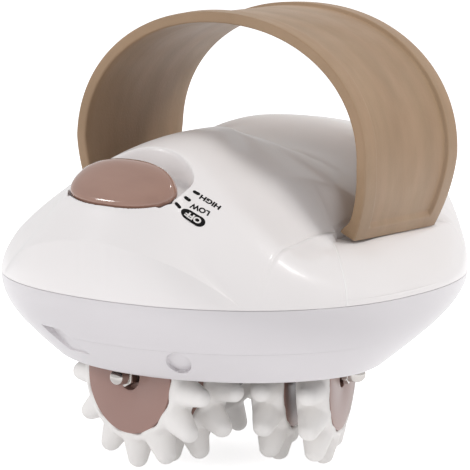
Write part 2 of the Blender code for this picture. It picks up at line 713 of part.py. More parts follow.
def make_strap(rubber):
    rings = []
    path = strap_path()
    for k, (x, z, nx, nz) in enumerate(path):
        up = min(max((z - LEDGE_Z) / (STRAP_SHOULDER_Z - LEDGE_Z), 0.0), 1.0)
        width = mix(STRAP_FOOT_WIDTH, STRAP_MID_WIDTH, up)
        thick = mix(STRAP_FOOT_THICK, STRAP_THICK + STRAP_BEAD, up)
        bead = STRAP_BEAD * min(max((z - LEDGE_Z) / STRAP_PANEL_START, 0.0), 1.0)
        section = strap_section(width, thick, bead)
        rings.append([(x - nx * d, STRAP_Y + across, z - nz * d) for across, d in section])
    strap = add_piece("hand_strap", loft("hand_strap", rings), rubber)
    foot_x = STRAP_HALF_SPAN - STRAP_LEAN - STRAP_FOOT_THICK / 2.0
    for side, tag in ((-1.0, "left"), (1.0, "right")):
        tip = SEAT_WALL_X - SHELL_WALL - CLAMP_DEPTH
        tongue = tongue_block("tongue_" + tag, side, 0.0, tip, foot_x)
        combine(strap, "UNION", add_cutter("tongue_" + tag, tongue))
    holes = rods("tongue_holes", clamp_screw_places(), SCREW_RADIUS + SCREW_CLEARANCE, LEDGE_Z,
                 STRAP_SHOULDER_Z)
    combine(strap, "DIFFERENCE", add_cutter("tongue_holes", holes))
    return strap


def clamp_middle_x():
    return SEAT_WALL_X - SHELL_WALL - JOINT_GAP - CLAMP_DEPTH / 2.0


def clamp_screw_places():
    offset = TONGUE_WIDTH / 4.0
    return [(sx * clamp_middle_x(), STRAP_Y + sy * offset) for sx in (-1.0, 1.0) for sy in (-1.0, 1.0)]


def screw_mesh(name, bite, radius=SCREW_RADIUS, head_radius=SCREW_HEAD_RADIUS):
    """Pan-head screw pointing up: the underside of its head is at z = 0."""
    tip = radius / 2.0
    head = SCREW_HEAD * head_radius / SCREW_HEAD_RADIUS
    profile = [
        (head_radius * SCREW_CROWN_SHARE, -head), (head_radius, -head / 2.0), (head_radius, 0.0),
        (radius, 0.0), (radius, bite - tip), (tip, bite),
    ]
    return turned(name, profile, SMALL_SEGMENTS)


def make_strap_clamps(plastic, steel):
    low, _ = tongue_span()
    top = low - JOINT_GAP
    screw = screw_mesh("clamp_screw", CLAMP_THICK + TONGUE_THICK + SHELF_THICK - SHELL_WALL / 2.0)
    for side, tag in ((-1.0, "left"), (1.0, "right")):
        xs = sorted((side * (SEAT_WALL_X - SHELL_WALL - JOINT_GAP),
                     side * (SEAT_WALL_X - SHELL_WALL - CLAMP_DEPTH)))
        y0, y1 = STRAP_Y - TONGUE_WIDTH / 2.0, STRAP_Y + TONGUE_WIDTH / 2.0
        plate = block("strap_clamp_" + tag, (xs[0], y0, top - CLAMP_THICK), (xs[1], y1, top))
        clamp = add_piece("strap_clamp_" + tag, plate, plastic)
        places = [p for p in clamp_screw_places() if p[0] * side > 0.0]
        holes = rods("clamp_holes_" + tag, places, SCREW_RADIUS + SCREW_CLEARANCE,
                     LEDGE_Z - CUT_OVERRUN, STRAP_SHOULDER_Z)
        combine(clamp, "DIFFERENCE", add_cutter("clamp_holes_" + tag, holes))
        for k, (x, y) in enumerate(places):
            place = Matrix.Translation((x, y, top - CLAMP_THICK - JOINT_GAP))
            add_piece("clamp_screw_%s_%d" % (tag, k + 1), screw, steel, place)


def make_switch(brown, dark, black, green, steel):
    """Knob, slider and switch body share a frame tilted with the front slope of the dome."""
    base = -RECESS_DEPTH + JOINT_GAP + SLIDER_THICK + JOINT_GAP
    rise = KNOB_HEIGHT - base
    rings = []
    for share, up in KNOB_LEVEL_SHARES:
        outline = oval(KNOB_HALF_WIDTH * share, KNOB_HALF_LENGTH * share, KNOB_ROUND_SHARE, KNOB_POINTS)
        tilt = KNOB_WEDGE_SHARE / KNOB_HALF_LENGTH
        rings.append([(x, y, base + rise * up * (1.0 + tilt * y)) for x, y in outline])
    knob = add_piece("switch_knob", loft("switch_knob", rings), brown, SLOPE_FRAME)
    outline = oval(KNOB_HALF_WIDTH + SLIDER_MARGIN, KNOB_HALF_LENGTH + SLIDER_MARGIN,
                   KNOB_ROUND_SHARE, KNOB_POINTS)
    low = -RECESS_DEPTH + JOINT_GAP
    slider = add_piece("switch_slider", prism("switch_slider", outline, low, low + SLIDER_THICK),
                       dark, SLOPE_FRAME)
    stem = block("slider_stem", (-STEM_WIDTH / 2.0, -STEM_LENGTH / 2.0, stem_level()),
                 (STEM_WIDTH / 2.0, STEM_LENGTH / 2.0, low + SLIDER_THICK / 2.0))
    combine(slider, "UNION", add_cutter("slider_stem", stem, SLOPE_FRAME))
    middle = SWITCH_TRAVEL / 2.0
    body_top = stem_level() - JOINT_GAP
    body = block("slide_switch", (-SWITCH_BODY_WIDTH / 2.0, middle - SWITCH_BODY_LENGTH / 2.0,
                 body_top - SWITCH_BODY_HEIGHT),
                 (SWITCH_BODY_WIDTH / 2.0, middle + SWITCH_BODY_LENGTH / 2.0, body_top))
    add_piece("slide_switch", body, black, SLOPE_FRAME)
    board_top = board_level()
    board = block("circuit_board", (-BOARD_WIDTH / 2.0, middle - BOARD_LENGTH / 2.0,
                  board_top - BOARD_THICK),
                  (BOARD_WIDTH / 2.0, middle + BOARD_LENGTH / 2.0, board_top))
    board = add_piece("circuit_board", board, green, SLOPE_FRAME)
    bore = BOARD_SCREW_RADIUS + SCREW_CLEARANCE
    holes = rods("board_holes", board_posts(), bore, board_top - CUT_OVERRUN, board_top + CUT_OVERRUN)
    combine(board, "DIFFERENCE", add_cutter("board_holes", holes, SLOPE_FRAME))
    head = screw_mesh("board_screw", BOARD_THICK + BOARD_SCREW_BITE, BOARD_SCREW_RADIUS,
                      MOTOR_SCREW_HEAD_RADIUS)
    for k, (x, y) in enumerate(board_posts()):
        place = SLOPE_FRAME @ Matrix.Translation((x, y, board_top - BOARD_THICK - JOINT_GAP))
        add_piece("board_screw_%d" % (k + 1), head, steel, place)
    return knob


def tyre_mesh():
    """Studded tyre about local X: plain bands round the sides and bore, and a lofted stud per sector."""
    half = TYRE_WIDTH / 2.0
    inner_face = half - DISC_THICK - JOINT_GAP
    bore = BARREL_RADIUS + JOINT_GAP
    seat = DISC_RADIUS + JOINT_GAP
    low = TYRE_TREAD_RADIUS - TYRE_CHAMFER
    loops = [
        (-half + TYRE_CHAMFER, TYRE_TREAD_RADIUS), (-half, low), (-half, bore), (inner_face, bore),
        (inner_face, seat), (half, seat), (half, low), (half - TYRE_CHAMFER, TYRE_TREAD_RADIUS),
    ]
    count = 2 * NUBS
    pitch = 2.0 * math.pi / NUBS
    points = []
    for w, r in loops:
        for i in range(count):
            angle = -math.pi / 2.0 + (i - 1) * pitch / 2.0
            points.append((w, r * math.cos(angle), r * math.sin(angle)))
    faces = loft_faces(count, len(loops), False)
    last = (len(loops) - 1) * count
    middle = len(points)
    for i in range(0, count, 2):
        angle = -math.pi / 2.0 + (i - 1) * pitch / 2.0
        points.append((0.0, TYRE_TREAD_RADIUS * math.cos(angle), TYRE_TREAD_RADIUS * math.sin(angle)))
    reach = WHEEL_TIP_RADIUS - TYRE_TREAD_RADIUS
    tip_round = NUB_RADIUS * NUB_TAPER_SHARE
    levels = [
        (NUB_RADIUS, TYRE_TREAD_RADIUS + reach * NUB_FOOT_SHARE),
        (tip_round, WHEEL_TIP_RADIUS - tip_round),
        (tip_round * math.cos(NUB_EDGE_ANGLE),
         WHEEL_TIP_RADIUS - tip_round * (1.0 - math.sin(NUB_EDGE_ANGLE))),
    ]
    for n in range(NUBS):
        i0, i1, i2 = 2 * n, 2 * n + 1, (2 * n + 2) % count
        sides = [
            last + i2, last + i1, last + i0, middle + n, i0, i1, i2, middle + (n + 1) % NUBS,
        ]
        centre = -math.pi / 2.0 + n * pitch
        ring = list(sides)
        for radius, r in levels:
            start = len(points)
            for k in range(8):
                turn = math.pi / 4.0 * (k + 1)
                across, along = radius * math.sin(turn), radius * math.cos(turn)
                y = r * math.cos(centre) - along * math.sin(centre)
                z = r * math.sin(centre) + along * math.cos(centre)
                points.append((across, y, z))
            fresh = list(range(start, start + 8))
            faces += [(ring[k], ring[(k + 1) % 8], fresh[(k + 1) % 8], fresh[k]) for k in range(8)]
            ring = fresh
        points.append((0.0, WHEEL_TIP_RADIUS * math.cos(centre), WHEEL_TIP_RADIUS * math.sin(centre)))
        faces += [(ring[k], ring[(k + 1) % 8], len(points) - 1) for k in range(8)]
    return new_mesh("studded_tyre", points, faces, math.radians(50.0))


def along_x(profile, segments):
    """Rings about local X from (x, radius) points."""
    turn = 2.0 * math.pi / segments
    return [
        [(w, r * math.cos(i * turn), r * math.sin(i * turn)) for i in range(segments)]
        for w, r in profile
    ]


def collar_length():
    return OUTER_WHEEL_REACH - INNER_WHEEL_REACH - TYRE_WIDTH - WHEEL_SIDE_GAP


def arm_frame(arm):
    """Direction of an arm, and the turn that lays local X along it."""
    heading = ARM_REST + arm * 2.0 * math.pi / ARMS
    out = Vector((math.sin(heading), -math.cos(heading), 0.0))
    return out, Matrix.Rotation(heading - math.pi / 2.0, 4, "Z")


def make_wheels(white_rubber, brown, steel, chrome):
    half = TYRE_WIDTH / 2.0
    bore = AXLE_RADIUS + AXLE_CLEARANCE
    collar = -half - collar_length()
    rings = along_x([
        (collar, bore), (collar, COLLAR_RADIUS), (-half, COLLAR_RADIUS), (-half, BARREL_RADIUS),
        (half - DISC_THICK, BARREL_RADIUS), (half - DISC_THICK, DISC_RADIUS), (half, DISC_RADIUS),
        (half, NUT_POCKET_RADIUS), (half - NUT_POCKET_DEPTH, NUT_POCKET_RADIUS),
        (half - NUT_POCKET_DEPTH, bore),
    ], ROUND_SEGMENTS)
    hub_mesh = loft("wheel_hub", rings, closed=True)
    tyre = tyre_mesh()
    nut_start = half - NUT_POCKET_DEPTH + WHEEL_SIDE_GAP
    axle_end = nut_start + NUT_HEX_HEIGHT
    inner_end = OUTER_WHEEL_REACH - AXLE_INNER_END
    axle_mesh = loft("axle", along_x([(-inner_end, AXLE_RADIUS), (axle_end, AXLE_RADIUS)],
                     SMALL_SEGMENTS))
    nut_bore = AXLE_RADIUS + JOINT_GAP / 2.0
    hexagon, rings = 6, []
    turns = [math.pi * i / hexagon for i in range(2 * hexagon)]
    flat = math.cos(math.pi / hexagon)

    def hex_radius(angle):
        part = (angle + math.pi / hexagon) % (2.0 * math.pi / hexagon) - math.pi / hexagon
        return NUT_HEX_RADIUS * flat / math.cos(part)

    def nut_ring(w, radius):
        return [(w, radius(a) * math.cos(a), radius(a) * math.sin(a)) for a in turns]

    hex_end = nut_start + NUT_HEX_HEIGHT
    dome_start = nut_start + NUT_LENGTH - NUT_DOME_RADIUS
    cone = NUT_DOME_RADIUS * math.cos(math.radians(45.0))
    for w, radius in (
        (axle_end + JOINT_GAP, lambda a: nut_bore), (nut_start, lambda a: nut_bore),
        (nut_start, hex_radius), (hex_end, hex_radius),
        (hex_end, lambda a: NUT_DOME_RADIUS), (dome_start, lambda a: NUT_DOME_RADIUS),
        (dome_start + cone, lambda a: cone),
        (nut_start + NUT_LENGTH, lambda a: NUT_DOME_RADIUS * NUT_TIP_SHARE),
    ):
        rings.append(nut_ring(w, radius))
    nut_mesh = loft("dome_nut", rings)
    for arm in range(ARMS):
        out, turn = arm_frame(arm)
        for reach, tag in ((OUTER_WHEEL_REACH, "outer"), (INNER_WHEEL_REACH, "inner")):
            place = Matrix.Translation(out * reach + Vector((0.0, 0.0, AXLE_Z))) @ turn
            add_piece("wheel_hub_%d_%s" % (arm + 1, tag), hub_mesh, brown, place)
            add_piece("tyre_%d_%s" % (arm + 1, tag), tyre, white_rubber, place)
        place = Matrix.Translation(out * OUTER_WHEEL_REACH + Vector((0.0, 0.0, AXLE_Z))) @ turn
        add_piece("axle_%d" % (arm + 1), axle_mesh, steel, place)
        add_piece("dome_nut_%d" % (arm + 1), nut_mesh, chrome, place)


def make_rotor(grey):
    low = AXLE_Z - HUB_HEIGHT / 2.0
    top = AXLE_Z + HUB_HEIGHT / 2.0
    bore = SPINDLE_RADIUS + JOINT_GAP
    profile = [(HUB_RADIUS * HUB_FOOT_SHARE, low), (HUB_RADIUS, low + HUB_FLOOR / 2.0),
               (HUB_RADIUS, top), (bore, top), (bore, low + HUB_FLOOR)]
    hub = add_piece("rotor_hub", turned("rotor_hub", profile), grey)
    reach = INNER_WHEEL_REACH - TYRE_WIDTH / 2.0 - collar_length() - WHEEL_SIDE_GAP
    for arm in range(ARMS):
        out, _ = arm_frame(arm)
        frame = Matrix.Translation((0.0, 0.0, AXLE_Z)) @ out.to_track_quat("Z", "Y").to_matrix().to_4x4()
        post = rod("arm_%d" % (arm + 1), ARM_RADIUS, bore * ARM_ROOT_SHARE, reach)
        combine(hub, "UNION", add_cutter("arm_%d" % (arm + 1), post, frame))
        start = AXLE_INNER_END - JOINT_GAP
        hole = rod("arm_bore_%d" % (arm + 1), AXLE_RADIUS + JOINT_GAP, start, reach + CUT_OVERRUN)
        combine(hub, "DIFFERENCE", add_cutter("arm_bore_%d" % (arm + 1), hole, frame))
    return hub


def gear_outline(teeth, module, phase):
    """Involute teeth with a little play, one of them centred on the phase angle."""
    pitch = teeth * module / 2.0
    base = pitch * math.cos(PRESSURE_ANGLE)
    root, tip = pitch - DEDENDUM_SHARE * module, pitch + ADDENDUM_SHARE * module
    lean = math.tan(PRESSURE_ANGLE) - PRESSURE_ANGLE
    outline = []
    for k in range(teeth):
        centre = phase + 2.0 * math.pi * k / teeth
        half = []
        for radius in (root, tip) if teeth > FINE_TEETH else (root, pitch, tip):
            rolled = math.acos(min(base / radius, 1.0))
            width = math.pi / (2.0 * teeth) - BACKLASH_SHARE / teeth + lean - (math.tan(rolled) - rolled)
            half.append((radius, width))
        for radius, width in half:
            outline.append((radius * math.cos(centre - width), radius * math.sin(centre - width)))
        for radius, width in reversed(half):
            outline.append((radius * math.cos(centre + width), radius * math.sin(centre + width)))
    return outline


def bored(piece, radius, low, high, x=0.0, y=0.0):
    name = piece.name + "_bore"
    hole = rod(name, radius, low - CUT_OVERRUN, high + CUT_OVERRUN, ROUND_SEGMENTS, x, y)
    combine(piece, "DIFFERENCE", add_cutter(name, hole, piece.matrix_world))


def hull_outline(front_radius, rear_radius, rear_y):
    """Two arcs, one round the rotor axis and one further back, joined by straight sides."""
    lean = math.asin((front_radius - rear_radius) / rear_y)
    points = []
    for k in range(ROUND_SEGMENTS + 1):
        angle = math.pi - lean + (math.pi + 2.0 * lean) * k / ROUND_SEGMENTS
        points.append((front_radius * math.cos(angle), front_radius * math.sin(angle)))
    for k in range(SMALL_SEGMENTS + 1):
        angle = lean + (math.pi - 2.0 * lean) * k / SMALL_SEGMENTS
        points.append((rear_radius * math.cos(angle), rear_y + rear_radius * math.sin(angle)))
    return points


MIDDLE_Y = (GEAR_TEETH + PINION_TEETH) * SLOW_MODULE / 2.0
MOTOR_Y = MIDDLE_Y + (GEAR_TEETH + PINION_TEETH) * FAST_MODULE / 2.0
GEAR_Z = CHASSIS_TOP + BUSH_FLANGE + JOINT_GAP * 2.0
GEAR_TOP = GEAR_Z + OUTPUT_GEAR_FACE
MIDDLE_Z = GEAR_TOP + GEAR_LIFT
MIDDLE_TOP = MIDDLE_Z + MIDDLE_GEAR_FACE
ROOF_Z = MIDDLE_TOP + COVER_HEADROOM
ROOF_TOP = ROOF_Z + COVER_WALL
MOTOR_Z = ROOF_TOP + JOINT_GAP


def cover_ears():
    return [(side * x, y) for x, y in COVER_EARS for side in (-1.0, 1.0)]


def motor_screw_places():
    return [(-MOTOR_SCREW_REACH, MOTOR_Y), (MOTOR_SCREW_REACH, MOTOR_Y)]


def chassis_outline():
    """Round plate with a rounded ear over each lug of the lower housing."""
    spread = math.asin(EAR_RADIUS / CHASSIS_EAR_REACH) * EAR_SPREAD_SHARE
    plain = 2.0 * math.pi / CHASSIS_EARS - 2.0 * spread
    steps = BODY_SEGMENTS // CHASSIS_EARS
    points = []
    for x, y in ear_places():
        middle = math.atan2(y, x)
        for k in range(EAR_STEPS + 1):
            turn = spread * (2.0 * k / EAR_STEPS - 1.0)
            depth = math.sqrt(EAR_RADIUS**2 - (CHASSIS_EAR_REACH * math.sin(turn)) ** 2)
            reach = max(CHASSIS_EAR_REACH * math.cos(turn) + depth, WELL_RADIUS + WELL_WALL)
            points.append((reach * math.cos(middle + turn), reach * math.sin(middle + turn)))
        for k in range(1, steps):
            turn = middle + spread + plain * k / steps
            reach = WELL_RADIUS + WELL_WALL
            points.append((reach * math.cos(turn), reach * math.sin(turn)))
    return points


def make_chassis(grey, brass, steel):
    plate = prism("chassis_plate", chassis_outline(), CHASSIS_Z, CHASSIS_TOP)
    plate = add_piece("chassis_plate", plate, grey)
    bored(plate, BUSH_RADIUS + JOINT_GAP, CHASSIS_Z, CHASSIS_TOP)
    bore = SCREW_RADIUS + SCREW_CLEARANCE
    low, high = CHASSIS_Z - CUT_OVERRUN, CHASSIS_TOP + CUT_OVERRUN
    holes = rods("chassis_holes", ear_places() + cover_ears(), bore, low, high)
    combine(plate, "DIFFERENCE", add_cutter("chassis_holes", holes))
    hole = rod("pin_hole", PIN_RADIUS + JOINT_GAP, CHASSIS_Z + CHASSIS_THICK / 4.0, high,
               SMALL_SEGMENTS, 0.0, MIDDLE_Y)
    combine(plate, "DIFFERENCE", add_cutter("pin_hole", hole))
    screw = screw_mesh("chassis_screw", CHASSIS_THICK + SMALL_SCREW_BITE, SCREW_RADIUS, SMALL_HEAD_RADIUS)
    upside = Matrix.Rotation(math.pi, 4, "X")
    for k, (x, y) in enumerate(ear_places()):
        place = Matrix.Translation((x, y, CHASSIS_TOP + JOINT_GAP)) @ upside
        add_piece("chassis_screw_%d" % (k + 1), screw, steel, place)
    inner = SPINDLE_RADIUS + JOINT_GAP
    flange = CHASSIS_TOP + JOINT_GAP
    profile = [(inner, CHASSIS_Z), (BUSH_RADIUS, CHASSIS_Z), (BUSH_RADIUS, flange),
               (BUSH_FLANGE_RADIUS, flange), (BUSH_FLANGE_RADIUS, flange + BUSH_FLANGE),
               (inner, flange + BUSH_FLANGE)]
    add_piece("spindle_bush", turned("spindle_bush", profile, bored=True), brass)


def make_gears(nylon, brass, steel):
    low = AXLE_Z - HUB_HEIGHT / 2.0 + HUB_FLOOR + JOINT_GAP
    add_piece("spindle", rod("spindle", SPINDLE_RADIUS, low, GEAR_TOP + GEAR_LIFT / 2.0,
              ROUND_SEGMENTS), steel)
    ahead = math.pi / 2.0
    gap_ahead = -ahead + math.pi / PINION_TEETH
    outline = gear_outline(GEAR_TEETH, SLOW_MODULE, ahead)
    output = add_piece("output_gear", prism("output_gear", outline, GEAR_Z, GEAR_TOP), nylon)
    bored(output, SPINDLE_RADIUS + JOINT_GAP, GEAR_Z, GEAR_TOP)
    place = Matrix.Translation((0.0, MIDDLE_Y, 0.0))
    outline = gear_outline(GEAR_TEETH, FAST_MODULE, ahead)
    middle = add_piece("middle_gear", prism("middle_gear", outline, MIDDLE_Z, MIDDLE_TOP), nylon, place)
    outline = gear_outline(PINION_TEETH, SLOW_MODULE, gap_ahead)
    small = prism("middle_pinion", outline, GEAR_Z, mix(MIDDLE_Z, MIDDLE_TOP, 0.5))
    combine(middle, "UNION", add_cutter("middle_pinion", small, place))
    bored(middle, PIN_RADIUS + JOINT_GAP, GEAR_Z, MIDDLE_TOP)
    pin_low = CHASSIS_Z + CHASSIS_THICK / 4.0 + JOINT_GAP
    pin = rod("gear_pin", PIN_RADIUS, pin_low, ROOF_Z - JOINT_GAP, SMALL_SEGMENTS)
    add_piece("gear_pin", pin, steel, place)
    place = Matrix.Translation((0.0, MOTOR_Y, 0.0))
    outline = gear_outline(PINION_TEETH, FAST_MODULE, gap_ahead)
    pinion_low, pinion_high = MIDDLE_Z - GEAR_LIFT / 2.0, MIDDLE_TOP + COVER_HEADROOM / 2.0
    pinion = add_piece("motor_pinion", prism("motor_pinion", outline, pinion_low, pinion_high),
                       brass, place)
    bored(pinion, MOTOR_SHAFT_RADIUS + JOINT_GAP, pinion_low, pinion_high)
    shaft = rod("motor_shaft", MOTOR_SHAFT_RADIUS, pinion_low, MOTOR_Z + MOTOR_SHAFT_SEAT)
    add_piece("motor_shaft", shaft, steel, place)


def make_cover(grey, steel):
    low = CHASSIS_TOP + JOINT_GAP
    outline = hull_outline(COVER_FRONT_RADIUS, COVER_REAR_RADIUS, MOTOR_Y)
    cover = add_piece("gear_cover", prism("gear_cover", outline, low, ROOF_TOP), grey)
    feet = rods("cover_ears", cover_ears(), EAR_RADIUS, low, low + COVER_EAR_THICK)
    combine(cover, "UNION", add_cutter("cover_ears", feet))
    inside = hull_outline(COVER_FRONT_RADIUS - COVER_WALL, COVER_REAR_RADIUS - COVER_WALL, MOTOR_Y)
    combine(cover, "DIFFERENCE", add_cutter("cover_room", prism("cover_room", inside,
            low - CUT_OVERRUN, ROOF_Z)))
    bore = SCREW_RADIUS + SCREW_CLEARANCE
    holes = rods("cover_holes", cover_ears(), bore, low - CUT_OVERRUN,
                 low + COVER_EAR_THICK + CUT_OVERRUN)
    combine(cover, "DIFFERENCE", add_cutter("cover_holes", holes))
    opening = rod("motor_opening", MOTOR_BOSS_RADIUS + JOINT_GAP, ROOF_Z - CUT_OVERRUN / 4.0,
                  ROOF_TOP + CUT_OVERRUN,
                  ROUND_SEGMENTS, 0.0, MOTOR_Y)
    combine(cover, "DIFFERENCE", add_cutter("motor_opening", opening))
    bore = MOTOR_SCREW_RADIUS + SCREW_CLEARANCE
    holes = rods("motor_screw_holes", motor_screw_places(), bore, ROOF_Z - COVER_WALL,
                 ROOF_TOP + COVER_WALL)
    combine(cover, "DIFFERENCE", add_cutter("motor_screw_holes", holes))
    screw = screw_mesh("cover_screw", COVER_EAR_THICK + CHASSIS_THICK, SCREW_RADIUS, SMALL_HEAD_RADIUS)
    upside = Matrix.Rotation(math.pi, 4, "X")
    for k, (x, y) in enumerate(cover_ears()):
        place = Matrix.Translation((x, y, low + COVER_EAR_THICK + JOINT_GAP)) @ upside
        add_piece("cover_screw_%d" % (k + 1), screw, steel, place)


def make_motor(steel, dark_steel):
    place = Matrix.Translation((0.0, MOTOR_Y, 0.0))
    top = MOTOR_Z + MOTOR_HEIGHT
    edge = COVER_WALL / 2.0
    shaft_room = MOTOR_SHAFT_RADIUS + JOINT_GAP
    profile = [
        (shaft_room, ROOF_Z + JOINT_GAP), (MOTOR_BOSS_RADIUS, ROOF_Z + JOINT_GAP),
        (MOTOR_BOSS_RADIUS, MOTOR_Z),
        (MOTOR_RADIUS, MOTOR_Z), (MOTOR_RADIUS, top - edge), (MOTOR_RADIUS - edge, top),
        (MOTOR_BOSS_RADIUS, top), (MOTOR_BOSS_RADIUS, top + edge), (shaft_room, top + edge),
    ]
    motor = add_piece("motor", turned("motor", profile, bored=True), steel, place)
    bore = MOTOR_SCREW_RADIUS + SCREW_CLEARANCE
    depth = MOTOR_Z + MOTOR_SCREW_BITE + JOINT_GAP
    holes = rods("motor_pilots", motor_screw_places(), bore, MOTOR_Z - COVER_WALL, depth)
    combine(motor, "DIFFERENCE", add_cutter("motor_pilots", holes))
    bite = COVER_WALL + MOTOR_SCREW_BITE + JOINT_GAP
    screw = screw_mesh("motor_screw", bite, MOTOR_SCREW_RADIUS, MOTOR_SCREW_HEAD_RADIUS)
    for k, (x, y) in enumerate(motor_screw_places()):
        add_piece("motor_screw_%d" % (k + 1), screw, dark_steel,
                  Matrix.Translation((x, y, ROOF_Z - JOINT_GAP)))


def make_housing_screws(steel):
    screw = screw_mesh("housing_screw",
                       TUBE_TOP + SCREW_BITE - LOWER_BOTTOM - SCREW_HEAD - JOINT_GAP * 2.0)
    for k, (x, y) in enumerate(boss_places()):
        add_piece("housing_screw_%d" % (k + 1), screw, steel,
                  Matrix.Translation((x, y, LOWER_BOTTOM + SCREW_HEAD)))


def make_jack(black):
    """Power inlet: a box behind the rear wall with a round socket that fills the hole in it."""
    low, high = -JACK_HEIGHT / 2.0, JACK_HEIGHT / 2.0
    box = block("power_inlet", (-JACK_WIDTH / 2.0, low, JACK_FACE_Y - JACK_LENGTH),
                (JACK_WIDTH / 2.0, high, JACK_FACE_Y))
    jack = add_piece("power_inlet", box, black, jack_frame())
    nose = rod("inlet_nose", JACK_NOSE_RADIUS, JACK_FACE_Y - CUT_OVERRUN, JACK_NOSE_END, ROUND_SEGMENTS)
    combine(jack, "UNION", add_cutter("inlet_nose", nose, jack_frame()))
    start = JACK_NOSE_END - JACK_BORE_DEPTH
    socket = rod("inlet_socket", JACK_BORE_RADIUS, start, JACK_NOSE_END + CUT_OVERRUN)
    combine(jack, "DIFFERENCE", add_cutter("inlet_socket", socket, jack_frame()))


def main():
    clear_scene()
    white = material("white_gloss_plastic", (0.83, 0.80, 0.79), 0.22)
    rubber = material("taupe_rubber", (0.38, 0.29, 0.20), 0.45)
    brown = material("rosy_brown_plastic", (0.33, 0.20, 0.16), 0.30)
    dark = material("dark_brown_plastic", (0.10, 0.06, 0.05), 0.40)
    soft_white = material("white_rubber", (0.80, 0.77, 0.76), 0.50)
    grey = material("grey_plastic", (0.45, 0.46, 0.43), 0.50)
    steel = material("steel", (0.60, 0.60, 0.60), 0.35, 1.0)
    chrome = material("chrome", (0.80, 0.80, 0.80), 0.12, 1.0)
    black = material("black_plastic", (0.03, 0.03, 0.03), 0.50)
    green = material("board", (0.05, 0.22, 0.10), 0.60)
    brass = material("brass", (0.70, 0.52, 0.25), 0.35, 1.0)
    nylon = material("nylon", (0.75, 0.74, 0.68), 0.45)
    zinc = material("zinc_plated_steel", (0.55, 0.56, 0.57), 0.40, 1.0)
    notch = notch_cutter()
    make_upper_shell(white)
    make_lower_shell(white, notch)
    make_base_ring(white, notch)
    make_strap(rubber)
    make_strap_clamps(grey, steel)
    make_switch(brown, dark, black, green, steel)
    make_wheels(soft_white, brown, steel, chrome)
    make_rotor(grey)
    make_chassis(grey, brass, steel)
    make_gears(nylon, brass, steel)
    make_cover(grey, steel)
    make_motor(zinc, steel)
    make_housing_screws(steel)
    make_jack(black)


main()
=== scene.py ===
"""Looks of the body massager: finer shells, strap, knob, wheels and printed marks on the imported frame."""

import math

import bpy
import numpy as np
from mathutils import Matrix, Vector


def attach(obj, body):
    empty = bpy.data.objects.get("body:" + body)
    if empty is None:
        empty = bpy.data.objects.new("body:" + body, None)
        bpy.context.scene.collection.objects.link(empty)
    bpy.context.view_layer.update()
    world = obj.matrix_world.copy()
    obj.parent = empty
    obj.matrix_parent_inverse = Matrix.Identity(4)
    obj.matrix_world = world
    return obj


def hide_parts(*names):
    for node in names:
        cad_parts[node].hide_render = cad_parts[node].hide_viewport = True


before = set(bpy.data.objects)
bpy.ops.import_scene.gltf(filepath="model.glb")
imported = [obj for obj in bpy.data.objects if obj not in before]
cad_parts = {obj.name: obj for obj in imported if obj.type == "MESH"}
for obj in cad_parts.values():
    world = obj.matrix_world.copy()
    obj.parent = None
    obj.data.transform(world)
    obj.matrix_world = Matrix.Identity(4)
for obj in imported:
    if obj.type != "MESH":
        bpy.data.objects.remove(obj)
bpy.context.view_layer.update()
MM = 0.001

# Sizes repeated from the model, in millimetres, and shares
HALF_WIDTH, FRONT, REAR, CENTRE_Y = 62.0, 69.9, 87.4, 1.7
PLAN_POWER, BOXED_POWER = 2.2, 2.66
PARTING_Z, DOME = 55.2, 43.65
RIDGE_FRONT, RIDGE_REAR = 6.9, 1.54
FALL_SIDE, FALL_FRONT, FALL_REAR = 1.18, 2.8, 4.2
BLUNT_SIDE, BLUNT_FRONT, BLUNT_REAR = 0.58, 0.40, 0.35
CREASE_X, CREASE_SPREAD, SHOULDER = 40.0, 0.1, 0.345
GROOVE_DEEP, GROOVE_HALF, GROOVE_LIP, GROOVE_LIP_AT, GROOVE_LIP_HALF = 0.26, 0.42, 0.14, 1.1, 0.7
BROW_Y, BROW_TALL, BROW_HALF = -62.5, 1.9, 3.4
TROUGH_Y, TROUGH_Z, TROUGH_RISE = 20.0, 91.5, 25.0
TROUGH_WALL, TROUGH_END_WALL, TROUGH_FLARE = 39.7, 0.8, 0.45
TROUGH_ROUND, TROUGH_END_ROUND = 2.5, 3.3
RIM_BLEND, SIDE_BLEND = 5.0, 2.0
LEDGE_Z, LEDGE_X, FACET_LIFT, FACET_SLOPE = 69.7, 46.7, 0.4, 0.856
SEAT_X, SEAT_HALF_L, SEAT_SIDE_SLOPE, SEAT_END_SLOPE = 39.4, 23.3, 60.0, 6.17
SIDE_END_Y = -4.0
KNOB_Y, KNOB_Z, KNOB_TILT = -53.6, 84.3, math.radians(20.0)
KNOB_W, KNOB_L, KNOB_H, KNOB_WEDGE, KNOB_ROUND, KNOB_SIDES = 17.1, 8.8, 5.3, 0.68, 2.3, 128
TRAVEL, RECESS_DEPTH, RECESS_MARGIN = 7.0, 2.3, 0.35
RECESS_LIP, LIP_FALL, LIP_BLEND = 0.3, 1.2, 1.2
RECESS_WALL_SLOPE, RECESS_WALL_FOOT, RECESS_EDGE = 2.6, -0.65, 0.6
RIM_R, RIM_Z, STEP_Z, SHELL_LOW_Z, WELL_R = 48.2, 30.8, 41.1, 41.16, 46.2
STRAP_Y, STRAP_SPAN, STRAP_SHOULDER, STRAP_RISE, STRAP_ROUND = 20.4, 51.1, 91.3, 41.5, 2.11
STRAP_LEAN, STRAP_FOOT_W, STRAP_MID_W = 4.8, 46.0, 53.0
AXLE_Z, OUTER_REACH, INNER_REACH = 27.8, 32.7, 19.0
ARM_REST = math.radians(-11.4)


def mix(a, b, t):
    return a + (b - a) * t


def smooth(t):
    t = np.clip(t, 0.0, 1.0)
    return t * t * (3.0 - 2.0 * t)


# Finishes


